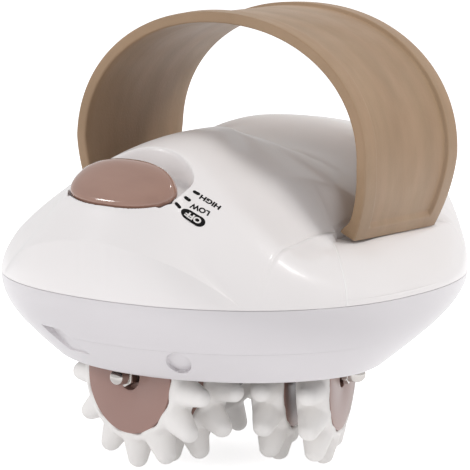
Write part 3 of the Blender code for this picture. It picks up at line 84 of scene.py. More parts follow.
class Socket:
    """A socket of a node tree that can be reckoned with: every operator adds its Math node."""

    def __init__(self, tree, end):
        self.tree, self.end = tree, end

    def math(self, operation, *values):
        return self.tree.node("ShaderNodeMath", {"operation": operation}, dict(enumerate(values)))

    def __add__(self, other):
        return self.math("ADD", self, other)

    def __sub__(self, other):
        return self.math("SUBTRACT", self, other)

    def __rsub__(self, other):
        return self.math("SUBTRACT", other, self)

    def __mul__(self, other):
        return self.math("MULTIPLY", self, other)

    def __truediv__(self, other):
        return self.math("DIVIDE", self, other)

    def __rtruediv__(self, other):
        return self.math("DIVIDE", other, self)

    def __pow__(self, other):
        return self.math("POWER", self, other)

    def least(self, other):
        return self.math("MINIMUM", self, other)

    def most(self, other):
        return self.math("MAXIMUM", self, other)

    __radd__ = __add__
    __rmul__ = __mul__


class Tree:
    """Writes a node tree: one call for each node, with its settings first and then its sockets."""

    def __init__(self, tree):
        self.tree = tree

    def node(self, kind, settings=None, values=None, out=0):
        made = self.tree.nodes.new(kind)
        for key, value in (settings or {}).items():
            if key == "stops":
                fill_ramp(made.color_ramp, value)
            else:
                setattr(made, key, value)
        for key, value in (values or {}).items():
            self.feed(made.inputs[key], value)
        return Socket(self, made.outputs[out]) if made.outputs else made

    def feed(self, socket, value):
        for one in value if isinstance(value, list) else [value]:
            if isinstance(one, Socket):
                self.tree.links.new(one.end, socket)
            else:
                socket.default_value = one


class Finish(Tree):
    """A material for one kind of surface: its patterns lie on Object coordinates."""

    def __init__(self, name, roughness, metallic=0.0):
        self.mat = bpy.data.materials.new(name)
        self.mat.use_nodes = True
        super().__init__(self.mat.node_tree)
        self.surface = self.tree.nodes["Principled BSDF"]
        self.place = self.node("ShaderNodeTexCoord", out="Object")
        self.give("Roughness", roughness)
        self.give("Metallic", metallic)

    def give(self, name, value):
        self.feed(self.surface.inputs[name], value)

    def noise(self, scale, detail, stretch=(1.0, 1.0, 1.0), rough=0.5):
        spot = self.node("ShaderNodeMapping", None, {"Vector": self.place, "Scale": stretch})
        values = {"Vector": spot, "Scale": scale, "Detail": detail, "Roughness": rough}
        return self.node("ShaderNodeTexNoise", None, values)

    def shades(self, amount, stops):
        return self.node("ShaderNodeValToRGB", {"stops": stops}, {"Fac": amount})

    def blend(self, mask, under, over):
        """Two colours mixed by a mask; the Mix node's colours go in at 6 and 7 and come out at 2."""
        return self.node("ShaderNodeMix", {"data_type": "RGBA"}, {"Factor": mask, 6: under, 7: over}, 2)

    def grain(self, height, depth):
        self.give("Normal", self.node("ShaderNodeBump", None, {"Height": height, "Distance": depth}))


def fill_ramp(ramp, stops):
    while len(ramp.elements) < len(stops):
        ramp.elements.new(0.5)
    for element, (at, colour) in zip(ramp.elements, stops):
        element.position = at
        element.color = linear(colour)


def linear(colour):
    """Linear colour with alpha from the 0 to 255 values of a picture."""
    out = [c / 12.92 if c <= 0.04045 else ((c + 0.055) / 1.055) ** 2.4 for c in (c / 255.0 for c in colour)]
    return (*out, 1.0)


def plastic(name, low, high, roughness, mottling=18.0, depth=0.00002, coat=0.0, shine=0.5):
    f = Finish(name, roughness)
    f.give("Base Color", f.shades(f.noise(mottling, 2.0), [(0.1, low), (0.9, high)]))
    f.give("Roughness", roughness * (0.97 + 0.06 * f.noise(35.0, 0.0)))
    f.give("Coat Weight", coat)
    f.give("Coat Roughness", 0.1)
    f.give("Specular IOR Level", shine)
    f.grain(f.noise(900.0, 2.0), depth)
    return f.mat


def metal(name, low, high, roughness, stretch=(1.0, 1.0, 1.0), scale=500.0, depth=0.00001):
    f = Finish(name, roughness, 1.0)
    lines = f.noise(scale, 3.0, stretch)
    f.give("Base Color", f.shades(f.noise(40.0, 3.0), [(0.3, low), (0.7, high)]))
    f.give("Roughness", roughness * (0.6 + 0.8 * lines))
    f.grain(lines, depth)
    return f.mat


# The edge colour is a painted highlight laid along the raised edge line
EDGE_OUT, EDGE_HALF, EDGE_FROM_X, EDGE_TO_Z = 13.0 * MM, 0.45 * MM, 43.2 * MM, 71.0 * MM
EDGE_HIGHLIGHT = (0.94, 0.92, 0.91, 1.0)


def top_gloss():
    """White shell with a fine raised edge from each corner of the strap's feet down to the parting line, and a
    painted highlight along that edge.
    """
    f = Finish("white_gloss_top", 0.3)
    tones = f.shades(f.noise(18.0, 2.0), [(0.1, (229, 225, 224)), (0.9, (237, 233, 232))])
    x, y, z = (f.node("ShaderNodeSeparateXYZ", None, {0: f.place}, axis) for axis in "XYZ")
    out = x.math("ABSOLUTE", x)
    middle = y - STRAP_Y * MM
    off = (out - middle.math("ABSOLUTE", middle) - EDGE_OUT) / EDGE_HALF
    line = 1.0 / (1.0 + off * off * off * off)
    outside = ((out - EDGE_FROM_X) / MM).most(0.0).least(1.0)
    below = ((EDGE_TO_Z - z) / MM).most(0.0).least(1.0)
    line = line * outside * below
    # Painted highlight: the base colour turns lighter along the raised edge
    f.give("Base Color", f.blend(0.5 * line, tones, EDGE_HIGHLIGHT))
    f.give("Roughness", 0.29 + 0.02 * f.noise(500.0, 1.0))
    f.give("Coat Weight", 0.25)
    f.give("Coat Roughness", 0.12)
    f.grain(line + 0.1 * f.noise(900.0, 2.0), 0.00016)
    return f.mat


def strap_rubber():
    """Taupe rubber, cloudy and streaked along the strap."""
    f = Finish("strap_rubber", 0.46)
    clouds = f.noise(22.0, 5.0, (1.0, 2.2, 1.0), 0.6)
    streaks = f.noise(60.0, 4.0, (0.35, 3.0, 0.35), 0.55)
    base = f.shades(clouds, [(0.28, (134, 108, 82)), (0.5, (152, 125, 98)), (0.72, (168, 141, 114))])
    tint = f.shades(streaks, [(0.3, (144, 121, 92)), (0.7, (170, 138, 110))])
    f.give("Base Color", f.blend(0.4, base, tint))
    f.give("Roughness", 0.36 + 0.22 * f.noise(80.0, 3.0))
    f.grain(f.noise(1400.0, 3.0), 0.00006)
    return f.mat


def knob_gloss():
    """Polished brown plastic with faint clouds across the knob."""
    f = Finish("knob_gloss", 0.14)
    clouds = f.noise(55.0, 3.0, (0.6, 1.6, 1.0))
    f.give("Base Color", f.shades(clouds, [(0.3, (143, 107, 92)), (0.7, (159, 122, 106))]))
    f.give("Roughness", 0.12 + 0.03 * f.noise(400.0, 1.0))
    f.give("Coat Weight", 0.8)
    f.give("Coat Roughness", 0.06)
    f.grain(f.noise(600.0, 2.0), 0.00001)
    return f.mat


WHITE_TOP = top_gloss()
# Painted shade: the lower shell and the rim get the shell's white painted darker than the top's
WHITE_LOW_SHADED = plastic("white_gloss_low_shaded", (208, 204, 206), (215, 211, 213), 0.3, coat=0.2)
WHITE_RUBBER = plastic("white_rubber", (232, 229, 226), (239, 236, 233), 0.5, 30.0, 0.00005)
BROWN_SATIN = plastic("brown_satin", (150, 117, 108), (158, 125, 115), 0.34, 26.0, 0.00003, 0.1)
BROWN_DARK = plastic("brown_dark", (84, 66, 60), (96, 76, 70), 0.4, 40.0)
PRINT_BLACK = plastic("print_black", (10, 9, 9), (18, 17, 17), 0.6, 90.0, shine=0.12)
PRINT_LIGHT = plastic("print_light", (214, 210, 208), (226, 222, 220), 0.42, 90.0)
BLACK_PLASTIC = plastic("black_plastic", (30, 30, 31), (44, 43, 43), 0.45, 60.0, 0.00004)
GREY_PLASTIC = plastic("grey_plastic", (120, 120, 122), (142, 141, 142), 0.46, 40.0, 0.00004)
GEAR_PLASTIC = plastic("gear_plastic", (205, 200, 186), (218, 213, 200), 0.42, 40.0)
BOARD_GREEN = plastic("board_green", (38, 92, 60), (48, 110, 72), 0.38, 120.0)
CHROME = metal("chrome", (186, 182, 178), (206, 202, 198), 0.1, scale=300.0)
STEEL = metal("steel", (150, 149, 148), (176, 175, 173), 0.32, (1.0, 1.0, 6.0))
BRASS = metal("brass", (176, 142, 84), (196, 162, 100), 0.3)
RUBBER = strap_rubber()
KNOB_MAT = knob_gloss()


# Meshes


def placed_object(name, data):
    obj = bpy.data.objects.new(name, data)
    bpy.context.scene.collection.objects.link(obj)
    return obj


def piece(name, points, faces, mat, body, sharp, *replaces):
    """A visible piece from points in millimetres; faces that meet above the sharp angle keep their edge."""
    mesh = bpy.data.meshes.new(name)
    mesh.from_pydata([tuple(float(c) * MM for c in p) for p in points], [], faces)
    mesh.validate()
    mesh.materials.append(mat)
    mesh.shade_smooth()
    mesh.set_sharp_from_angle(angle=math.radians(sharp))
    obj = placed_object(name, mesh)
    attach(obj, body)
    if replaces:
        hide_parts(*replaces)


def grid_faces(rows, cols, wrap=False, flip=False):
    """Faces between rows of points; wrap joins each row's end to its start."""
    faces = []
    last = cols if wrap else cols - 1
    for j in range(rows - 1):
        for i in range(last):
            a, b = j * cols + i, j * cols + (i + 1) % cols
            c, d = b + cols, a + cols
            faces.append((a, d, c, b) if flip else (a, b, c, d))
    return faces


def capped(rows, count):
    """Faces of a closed body of rings, with a flat face over its first and its last ring."""
    faces = grid_faces(rows, count, wrap=True)
    faces.append(tuple(reversed(range(count))))
    faces.append(tuple((rows - 1) * count + i for i in range(count)))
    return faces


def egg(angle, inset=0.0):
    """Point on the housing's outline from above."""
    c, s = math.cos(angle), math.sin(angle)
    power = 2.0 / PLAN_POWER
    x = math.copysign(abs(c) ** power, c) * (HALF_WIDTH - inset)
    y = math.copysign(abs(s) ** power, s) * ((FRONT if s < 0.0 else REAR) - inset)
    return x, CENTRE_Y + y


def soft_least(a, b, width):
    """The lower of two heights, rounded where they come closer than the width."""
    near = np.maximum(width - np.abs(a - b), 0.0) / width
    return np.minimum(a, b) - near * near * width / 4.0


def dome_height(x, y):
    """The plain dome: boxier at the front, with its own fall and bluntness along the ridge and aside."""
    wide = np.abs(x) / HALF_WIDTH
    away = y - CENTRE_Y
    front = away < 0.0
    deep = np.abs(away) / np.where(front, FRONT, REAR)
    share = np.minimum((wide**PLAN_POWER + deep**PLAN_POWER) ** (1.0 / PLAN_POWER), 1.0)
    boxed = (wide**BOXED_POWER + deep**BOXED_POWER) ** (1.0 / BOXED_POWER)
    share = np.where(front, mix(boxed, share, share**4.0), share)
    share = np.minimum(share, 1.0)
    lean = deep / np.maximum(np.hypot(wide, deep), 1e-9)
    ridge = np.where(front, lean**RIDGE_FRONT, lean**RIDGE_REAR)
    fall = mix(FALL_SIDE, np.where(front, FALL_FRONT, FALL_REAR), ridge)
    blunt = mix(BLUNT_SIDE, np.where(front, BLUNT_FRONT, BLUNT_REAR), ridge)
    return PARTING_Z + DOME * (1.0 - share**fall) ** blunt


def crease_x(ahead):
    """Half distance of the side crease, by how far it lies ahead of the strap."""
    return CREASE_X + CREASE_SPREAD * np.maximum(ahead - 2.0, 0.0)


def ahead_of_strap(y):
    """Distance ahead of the front edge of the strap's foot, or behind its rear edge."""
    return np.where(y < STRAP_Y, SIDE_END_Y - y, y - 2.0 * STRAP_Y + SIDE_END_Y)


def shoulder(x, y):
    """Share of the dome's height that the sides give up towards the side creases and beyond."""
    ahead = ahead_of_strap(y)
    fade = (1.0 - np.maximum(ahead + 2.0, 0.0) / 75.0) * (1.0 - smooth((ahead - 22.0) / 20.0))
    reach = 5.0 + 5.0 * smooth((ahead + 8.0) / 8.0) + 16.0 * np.clip(ahead / 34.0, 0.0, 1.0)
    t = np.clip((np.abs(x) - crease_x(ahead) + reach) / reach, 0.0, 1.0)
    return SHOULDER * fade * t * t


def brow(x, y):
    """Fullness of the shell just in front of the switch."""
    middle = 1.0 - smooth((np.abs(x) - 8.0) / 13.0)
    return BROW_TALL * np.exp(-(((y - BROW_Y) / BROW_HALF) ** 2)) * middle


def groove(x, y):
    """Fine line of the side crease: a narrow cut with a low lip outside it."""
    ahead = ahead_of_strap(y)
    off = np.abs(x) - crease_x(ahead)
    shown = smooth((ahead + 1.0) / 3.0) * (1.0 - smooth((ahead - 48.0) / 6.0))
    cut = GROOVE_DEEP * np.exp(-((off / GROOVE_HALF) ** 2))
    return shown * (cut - GROOVE_LIP * np.exp(-(((off - GROOVE_LIP_AT) / GROOVE_LIP_HALF) ** 2)))


def facet_height(x):
    """The flat sides that fall away below the strap's feet."""
    return LEDGE_Z + FACET_LIFT - FACET_SLOPE * np.maximum(np.abs(x) - LEDGE_X, 0.0)


def skin_height(x, y):
    """The dome with its shoulders, cut by the saddle-shaped trough for the hand."""
    dome = dome_height(x, y)
    dome = PARTING_Z + (dome - PARTING_Z) * (1.0 - shoulder(x, y)) + brow(x, y)
    away = np.abs(y - TROUGH_Y)
    square = smooth((away - 14.0) / 6.0)
    wall = mix(TROUGH_WALL, TROUGH_WALL + TROUGH_END_WALL, square) + TROUGH_FLARE * np.maximum(away - 24.0, 0.0)
    power = mix(TROUGH_ROUND, TROUGH_END_ROUND, square)
    top = TROUGH_Z + (y - TROUGH_Y) ** 2 / (2.0 * TROUGH_RISE)
    facet = facet_height(x)
    share = (1.0 - np.minimum(np.abs(x) / wall, 1.0) ** power) ** (1.0 / power)
    trough = facet + (top - facet) * share
    width = mix(RIM_BLEND, SIDE_BLEND, smooth((np.abs(x) - 24.0) / 12.0))
    body = soft_least(dome, trough, width) - groove(x, y)
    return np.maximum(body, PARTING_Z)


def seat_limit(x, y):
    """Room for the feet of the strap: steep sides round a flat ledge."""
    ahead = np.maximum(np.maximum(STRAP_Y - SEAT_HALF_L - y, y - STRAP_Y - SEAT_HALF_L), 0.0)
    return LEDGE_Z + SEAT_END_SLOPE * ahead + SEAT_SIDE_SLOPE * np.maximum(SEAT_X - np.abs(x), 0.0)


def recess_gap(x, y):
    """Distance outside the outline that the knob sweeps, and the height of its sliding plane."""
    along = (y - KNOB_Y) / math.cos(KNOB_TILT)
    plane = KNOB_Z + (y - KNOB_Y) * math.tan(KNOB_TILT)
    ahead = np.where(along > 0.0, np.maximum(along - TRAVEL, 0.0), along)
    w, l = KNOB_W + RECESS_MARGIN, KNOB_L + RECESS_MARGIN
    share = (np.abs(x / w) ** KNOB_ROUND + np.abs(ahead / l) ** KNOB_ROUND) ** (1.0 / KNOB_ROUND)
    step = np.hypot(x, ahead)
    return np.where(share > 1e-6, step * (1.0 - 1.0 / np.maximum(share, 1e-6)), -l), plane


def top_height(x, y):
    """The whole upper skin, with the seats, the lip round the knob's recess and the recess itself."""
    z = np.minimum(skin_height(x, y), seat_limit(x, y))
    gap, plane = recess_gap(x, y)
    lip = plane + RECESS_LIP - LIP_FALL * np.maximum(gap, 0.0)
    z = -soft_least(-z, -lip, LIP_BLEND)
    side = np.where(gap > RECESS_WALL_FOOT, RECESS_WALL_SLOPE * gap - RECESS_EDGE, -RECESS_DEPTH)
    return soft_least(z, plane + np.maximum(-RECESS_DEPTH, side), RECESS_EDGE)


def row_places():
    """Rows across the shell: closer together at the knob, at the ends of the seats and at the tips."""
    front = CENTRE_Y - FRONT * np.sin(0.5 * np.pi * np.linspace(0.0, 1.0, 76))
    rear = CENTRE_Y + REAR * np.sin(0.5 * np.pi * np.linspace(0.0, 1.0, 91))
    knob = np.arange(-65.6, -33.0, 0.24)
    ends = np.concatenate([np.arange(-8.0, -2.0, 0.22), np.arange(42.8, 48.8, 0.22)])
    fine = np.sort(np.concatenate([knob, ends]))
    coarse = [y for y in np.concatenate([front, rear[1:]]) if np.min(np.abs(fine - y)) > 0.35]
    return np.sort(np.concatenate([fine, coarse]))


def half_width(y):
    deep = np.abs(y - CENTRE_Y) / np.where(y < CENTRE_Y, FRONT, REAR)
    return HALF_WIDTH * np.maximum(1.0 - np.minimum(deep, 1.0) ** PLAN_POWER, 0.0) ** (1.0 / PLAN_POWER)


RECESS_FROM_X, RECESS_TO_X = 13.6, 20.4


def make_top_shell():
    """Skin as a grid: columns lie closer together at the recess's ends, the seat's edge and the crease."""
    rows = row_places()
    reach = half_width(rows)
    squeeze = np.minimum(reach / 47.0, 1.0)
    ahead = ahead_of_strap(rows)
    crease = crease_x(np.minimum(ahead, 50.0)) + 1.6 * (1.0 - smooth((ahead + 1.0) / 4.0))
    seat = mix(SEAT_X, crease - 1.6, smooth((ahead + 1.0) / 4.0))
    middle = 0.0 * seat
    stops = [
        (middle, middle + RECESS_FROM_X, 12), (middle + RECESS_FROM_X, middle + RECESS_TO_X, 30),
        (middle + RECESS_TO_X, seat - 0.6, 16), (seat - 0.6, seat + 0.6, 8),
        (seat + 0.6, crease - 0.9, 2), (crease - 0.9, crease + 1.9, 16),
    ]
    columns = [middle]
    for low, high, steps in stops:
        columns += [mix(low, high, (k + 1) / steps) * squeeze for k in range(steps)]
    start = columns[-1]
    columns += [mix(start, reach, math.sin(0.5 * math.pi * (k + 1) / 26)) for k in range(26)]
    half = np.array(columns)
    xs = np.concatenate([-half[:0:-1], half]).T
    ys = np.repeat(rows[:, None], xs.shape[1], axis=1)
    zs = top_height(xs, ys)
    zs[:, 0] = zs[:, -1] = PARTING_Z
    zs[0, :] = zs[-1, :] = PARTING_Z
    points = np.stack([xs, ys, zs], axis=-1).reshape(-1, 3)
    return points, grid_faces(len(rows), xs.shape[1])


def knob_frame():
    """Place of the knob on its tilted sliding plane."""
    return Matrix.Translation((0.0, KNOB_Y, KNOB_Z)) @ Matrix.Rotation(KNOB_TILT, 4, "X")


def oval(half_w, half_l):
    """Outline of the knob, rounder than a box and fuller than an ellipse."""
    made = []
    power = 2.0 / KNOB_ROUND
    for i in range(KNOB_SIDES):
        turn = 2.0 * math.pi * (i + 0.5) / KNOB_SIDES
        c, s = math.cos(turn), math.sin(turn)
        made.append((math.copysign(abs(c) ** power, c) * half_w, math.copysign(abs(s) ** power, s) * half_l))
    return made


def shell_flange(z, inset, tall):
    """Inner lip along the parting line, so that the seam is a narrow soft gap."""
    count = 240
    points = []
    for grow, rise in ((0.0, 0.0), (inset, 0.0), (inset, tall)):
        for i in range(count):
            x, y = egg(2.0 * math.pi * i / count, grow)
            points.append((x, y, z + rise))
    return points, grid_faces(3, count, wrap=True, flip=True)


def merged(parts):
    """Several parts as one list of points and one of faces."""
    points, faces = [], []
    for p, f in parts:
        base = len(points)
        points += [tuple(v) for v in p]
        faces += [tuple(base + i for i in face) for face in f]
    return points, faces


points, faces = merged([make_top_shell(), shell_flange(PARTING_Z, 0.22, 1.6)])
piece("shell_top", points, faces, WHITE_TOP, "housing", 50.0, "upper_shell")


def flank(angle, z, inset=0.0):
    """Point on the housing's underside, between the rim's circle and the outline at the parting line."""
    up = min(max((z - RIM_Z) / (PARTING_Z - RIM_Z), 0.0), 1.0)
    share = math.sin(0.5 * math.pi * up)
    x, y = egg(angle, inset)
    r = RIM_R - inset
    return Vector((mix(r * math.cos(angle), x, share), mix(r * math.sin(angle), y, share), z))


DIMPLE_ANGLE, NOTCH_ANGLE = math.radians(21.0) - math.pi / 2.0, math.radians(-16.6) - math.pi / 2.0
DIMPLE_Z, DIMPLE_RADIUS, DIMPLE_DEPTH, DIMPLE_SOFT = 37.3, 3.65, 2.0, 0.5
NOTCH_Z, NOTCH_HALF_W, NOTCH_HALF_H, NOTCH_SOFT = 39.7, 6.5, 3.75, 0.45
NOTCH_FOOT_DEPTH, NOTCH_TOP_DEPTH = 0.7, 2.9


def level_axes(angle):
    """Level directions outwards and along the flank at an angle round the housing."""
    return Vector((math.cos(angle), math.sin(angle), 0.0)), Vector((-math.sin(angle), math.cos(angle), 0.0))


DIMPLE_OUT, DIMPLE_ALONG = level_axes(DIMPLE_ANGLE)
NOTCH_OUT, NOTCH_ALONG = level_axes(NOTCH_ANGLE)


def dented(p):
    """A point of the flank, pushed in along a level line by the round dimple or by the slanted notch."""
    r = math.hypot(p.dot(DIMPLE_ALONG), p.z - DIMPLE_Z)
    if p.dot(DIMPLE_OUT) > 0.0 and r < DIMPLE_RADIUS:
        return p - DIMPLE_OUT * (DIMPLE_DEPTH * float(smooth((DIMPLE_RADIUS - r) / DIMPLE_SOFT)))
    u, v = p.dot(NOTCH_ALONG), p.z - NOTCH_Z
    if p.dot(NOTCH_OUT) > 0.0 and abs(u) < NOTCH_HALF_W and abs(v) < NOTCH_HALF_H:
        above = v + NOTCH_HALF_H
        left = NOTCH_HALF_W + u - 0.5 * (NOTCH_HALF_H - v)
        right = NOTCH_HALF_W - u - 0.5 * above
        inside = float(smooth(min(left, right, above, NOTCH_HALF_H - v) / NOTCH_SOFT))
        return p - NOTCH_OUT * (mix(NOTCH_FOOT_DEPTH, NOTCH_TOP_DEPTH, above / (2.0 * NOTCH_HALF_H)) * inside)
    return p


def flank_angles():
    """Angles round the housing, closer together at the dimple and at the notch."""
    angles = list(np.linspace(-math.pi, math.pi, 241)[:-1])
    angles += list(DIMPLE_ANGLE + np.linspace(-4.2, 4.2, 57) / 50.0)
    angles += list(NOTCH_ANGLE + np.linspace(-8.0, 8.0, 97) / 53.0)
    angles.sort()
    keep = [angles[0]]
    for a in angles[1:]:
        if a - keep[-1] > 0.0018:
            keep.append(a)
    return keep


FLANK_ANGLES = flank_angles()


def ring_at(radius, z):
    """Circle round the rotor's axis, with a point at each angle of the flank."""
    return [(radius * math.cos(a), radius * math.sin(a), z) for a in FLANK_ANGLES]


def make_low_shell():
    """Underside from the step up to the seam, with the wall of the wheel well inside it."""
    levels = [SHELL_LOW_Z, 41.3, *np.arange(41.5, 45.0, 0.2), *np.linspace(45.2, 54.6, 30), 54.88]
    skin = [dented(flank(a, z)) for z in levels for a in FLANK_ANGLES]
    seam_steps = ((55.0, 0.1), (55.02, 0.3), (56.4, 0.3))
    seam = [(*egg(a, inset), z) for z, inset in seam_steps for a in FLANK_ANGLES]
    below = [flank(a, SHELL_LOW_Z, 4.5) for a in FLANK_ANGLES]
    tube_low = ring_at(WELL_R + 1.6, SHELL_LOW_Z)
    loops = [ring_at(WELL_R, 55.6), ring_at(WELL_R, SHELL_LOW_Z), tube_low, below]
    rows = len(loops) + len(levels) + len(seam_steps)
    return [*sum(loops, []), *skin, *seam], grid_faces(rows, len(FLANK_ANGLES), wrap=True)


points, faces = make_low_shell()
piece("shell_low", points, faces, WHITE_LOW_SHADED, "housing", 35.0, "lower_shell")


def make_rim():
    """Snap-on ring below the step, set in a little, with a rounded lower edge."""
    levels = [RIM_Z, 30.95, 31.2, *np.arange(31.6, 34.4, 0.4), *np.arange(34.4, 40.9, 0.2), 40.95, STEP_Z]
    skin = []
    for z in levels:
        lip = 0.35 * max(0.0, 1.0 - (z - RIM_Z) / 0.45) ** 2
        skin += [dented(flank(a, z, lip + 0.12)) for a in FLANK_ANGLES]
    top = ring_at(WELL_R, STEP_Z)
    inner = ring_at(WELL_R, RIM_Z + 0.3)
    low = ring_at(WELL_R + 0.3, RIM_Z)
    return [*top, *inner, *low, *skin, *top], grid_faces(len(levels) + 4, len(FLANK_ANGLES), wrap=True)


points, faces = make_rim()
piece("rim_ring", points, faces, WHITE_LOW_SHADED, "housing", 35.0, "base_ring")


# Strap


def strap_line(count):
    """Outer line of the strap from the right foot over the top to the left foot, evenly spaced."""
    foot = LEDGE_Z + 0.3
    drop = STRAP_SHOULDER - foot
    half = []
    for k in range(60):
        z = mix(foot, STRAP_SHOULDER, k / 60.0)
        half.append((STRAP_SPAN - STRAP_LEAN * ((STRAP_SHOULDER - z) / drop) ** 2, z))
    for k in range(201):
        angle = 0.5 * math.pi * k / 200.0
        power = 2.0 / STRAP_ROUND
        across = STRAP_SPAN * max(math.cos(angle), 0.0) ** power
        half.append((across, STRAP_SHOULDER + STRAP_RISE * math.sin(angle) ** power))
    line = np.array(half + [(-x, z) for x, z in reversed(half[:-1])])
    run = np.concatenate([[0.0], np.cumsum(np.hypot(*np.diff(line, axis=0).T))])
    at = np.linspace(0.0, run[-1], count)
    x, z = np.interp(at, run, line[:, 0]), np.interp(at, run, line[:, 1])
    dx, dz = np.gradient(x), np.gradient(z)
    size = np.hypot(dx, dz)
    nx, nz = dz / size, -dx / size
    nx, nz = smooth_line(nx), smooth_line(nz)
    return x, z, nx, nz, at, run[-1]


def smooth_line(values):
    padded = np.concatenate([values[:1], values, values[-1:]])
    return (padded[:-2] + 2.0 * padded[1:-1] + padded[2:]) / 4.0


STRAP_BORDER, STRAP_OUTER_ROUND, STRAP_INNER_ROUND = 7.0, 0.5, 0.7
STRAP_THICK, STRAP_FOOT_THICK, STRAP_PANEL = 3.4, 3.6, 0.9
FOOT_SWELL, FOOT_REACH = 2.0, 3.2


def strap_section(half, thick, panel):
    """Outline across the strap: outer face with a shallow sunk panel, round edges, flat inner face."""
    edge, soft = half - STRAP_BORDER, STRAP_OUTER_ROUND
    places = [edge * k / 8.0 for k in range(8)] + [edge - 0.2 + 1.4 * k / 8.0 for k in range(9)]
    places += [mix(edge + 1.4, half - soft, k / 4.0) for k in range(5)]
    outer = []
    for across in places:
        step = float(smooth((edge + 1.0 - across) / 1.0))
        lip = 0.1 * math.exp(-(((across - edge - 1.4) / 0.5) ** 2)) if panel > 0.0 else 0.0
        swell = 0.18 * max(0.0, (across - edge - 1.2) / (half - edge - 1.2)) ** 3
        outer.append((across, panel * step - lip * panel + swell))
    deep = outer[-1][1]
    for a in np.radians((22.5, 45.0, 67.5, 90.0)):
        outer.append((half - soft + soft * math.sin(a), deep + soft * (1.0 - math.cos(a))))
    soft = STRAP_INNER_ROUND
    for a in np.radians((0.0, 30.0, 60.0, 90.0)):
        outer.append((half - soft + soft * math.cos(a), thick - soft + soft * math.sin(a)))
    outer += [((half - soft) * (1.0 - k / 8.0), thick) for k in range(1, 8)]
    return outer + [(0.0, thick)] + [(-w, d) for w, d in reversed(outer[1:])]


def make_strap():
    """The section carried along the strap's line, thicker and narrower at the feet."""
    x, z, nx, nz, at, total = strap_line(241)
    from_foot = np.minimum(at, total - at)
    points = []
    for k in range(len(x)):
        up = min(max((z[k] - LEDGE_Z) / (STRAP_SHOULDER - LEDGE_Z), 0.0), 1.0)
        half = mix(STRAP_FOOT_W, STRAP_MID_W, up) / 2.0
        thick = mix(STRAP_FOOT_THICK, STRAP_THICK, up) + FOOT_SWELL * math.exp(-((from_foot[k] / FOOT_REACH) ** 2))
        panel = STRAP_PANEL * float(smooth((from_foot[k] - 4.0) / 0.7))
        section = strap_section(half, thick, panel)
        count = len(section)
        for across, depth in section:
            points.append((x[k] - nx[k] * depth, STRAP_Y + across, z[k] - nz[k] * depth))
    rows = len(x)
    faces = grid_faces(rows, count, wrap=True, flip=True)
    faces.append(tuple(range(count)))
    faces.append(tuple((rows - 1) * count + i for i in reversed(range(count))))
    return points, faces


points, faces = make_strap()
piece("strap", points, faces, RUBBER, "housing", 60.0, "hand_strap")


# Switch


KNOB_PROFILE = (
    (0.0, 1.0), (0.12, 1.004), (0.22, 1.0), (0.4, 0.975), (0.55, 0.94), (0.7, 0.875),
    (0.82, 0.78), (0.91, 0.63), (0.97, 0.45), (0.992, 0.25), (1.0, 0.0),
)
KNOB_RINGS = (
    0.0, 0.06, 0.12, 0.18, 0.25, 0.32, 0.4, 0.48, 0.55, 0.63, 0.7, 0.76, 0.82, 0.865, 0.91, 0.94, 0.97, 0.982,
    0.992, 0.998,
)
KNOB_SKIRT = ((-0.95, 0.965), (-0.85, 0.985), (-0.35, 1.0))
KNOB_BASE, KNOB_CROWN = 0.1, 0.3
SLIDER_W, SLIDER_L, SLIDER_LOW = KNOB_W - 1.0, KNOB_L - 1.3, -2.0
SLIDER_RINGS = ((-0.6, 0.0), (-0.1, 0.15), (0.0, 0.5), (0.0, 0.9), (-0.1, 1.1), (-0.8, 1.15))


def knob_share(up):
    """Share of the knob's outline that is left at a share of its height."""
    return float(np.interp(up, *zip(*KNOB_PROFILE)))


def make_knob():
    """Pebble on a straight skirt, higher towards the strap by the wedge."""
    place = knob_frame()
    rise = KNOB_H - KNOB_BASE + KNOB_CROWN
    rings = [(z, 0.0, share) for z, share in KNOB_SKIRT]
    rings += [(KNOB_BASE, up, knob_share(up)) for up in KNOB_RINGS]
    points = []
    for low, up, share in rings:
        for x, y in oval(KNOB_W * share, KNOB_L * share):
            z = low + rise * up * (1.0 + KNOB_WEDGE * y / KNOB_L)
            points.append(place @ Vector((x, y, z)))
    return points, capped(len(rings), KNOB_SIDES)


def make_slider():
    """Thin plate under the knob, with softened edges."""
    place = knob_frame()
    points = []
    for grow, up in SLIDER_RINGS:
        ring = oval(SLIDER_W + grow, SLIDER_L + grow)
        points += [place @ Vector((x, y, SLIDER_LOW + up)) for x, y in ring]
    return points, capped(len(SLIDER_RINGS), KNOB_SIDES)


points, faces = make_knob()
piece("knob", points, faces, KNOB_MAT, "switch", 70.0, "switch_knob")
points, faces = make_slider()
piece("slider_plate", points, faces, BROWN_DARK, "switch", 50.0, "switch_slider")


# Wheels


TURNED_SIDES, NUT_SIDES = 96, 72


def turned_ring(w, r, count):
    """Circle round local X, at w along it."""
    turns = [2.0 * math.pi * i / count for i in range(count)]
    return [(w, r * math.cos(turn), r * math.sin(turn)) for turn in turns]


def closed_lathe(profile):
    """A turned piece with a closed section, so that its last ring joins its first."""
    count = TURNED_SIDES
    points = [p for w, r in profile for p in turned_ring(w, r, count)]
    faces = grid_faces(len(profile), count, wrap=True)
    last = (len(profile) - 1) * count
    faces += [(last + i, last + (i + 1) % count, (i + 1) % count, i) for i in range(count)]
    return points, faces


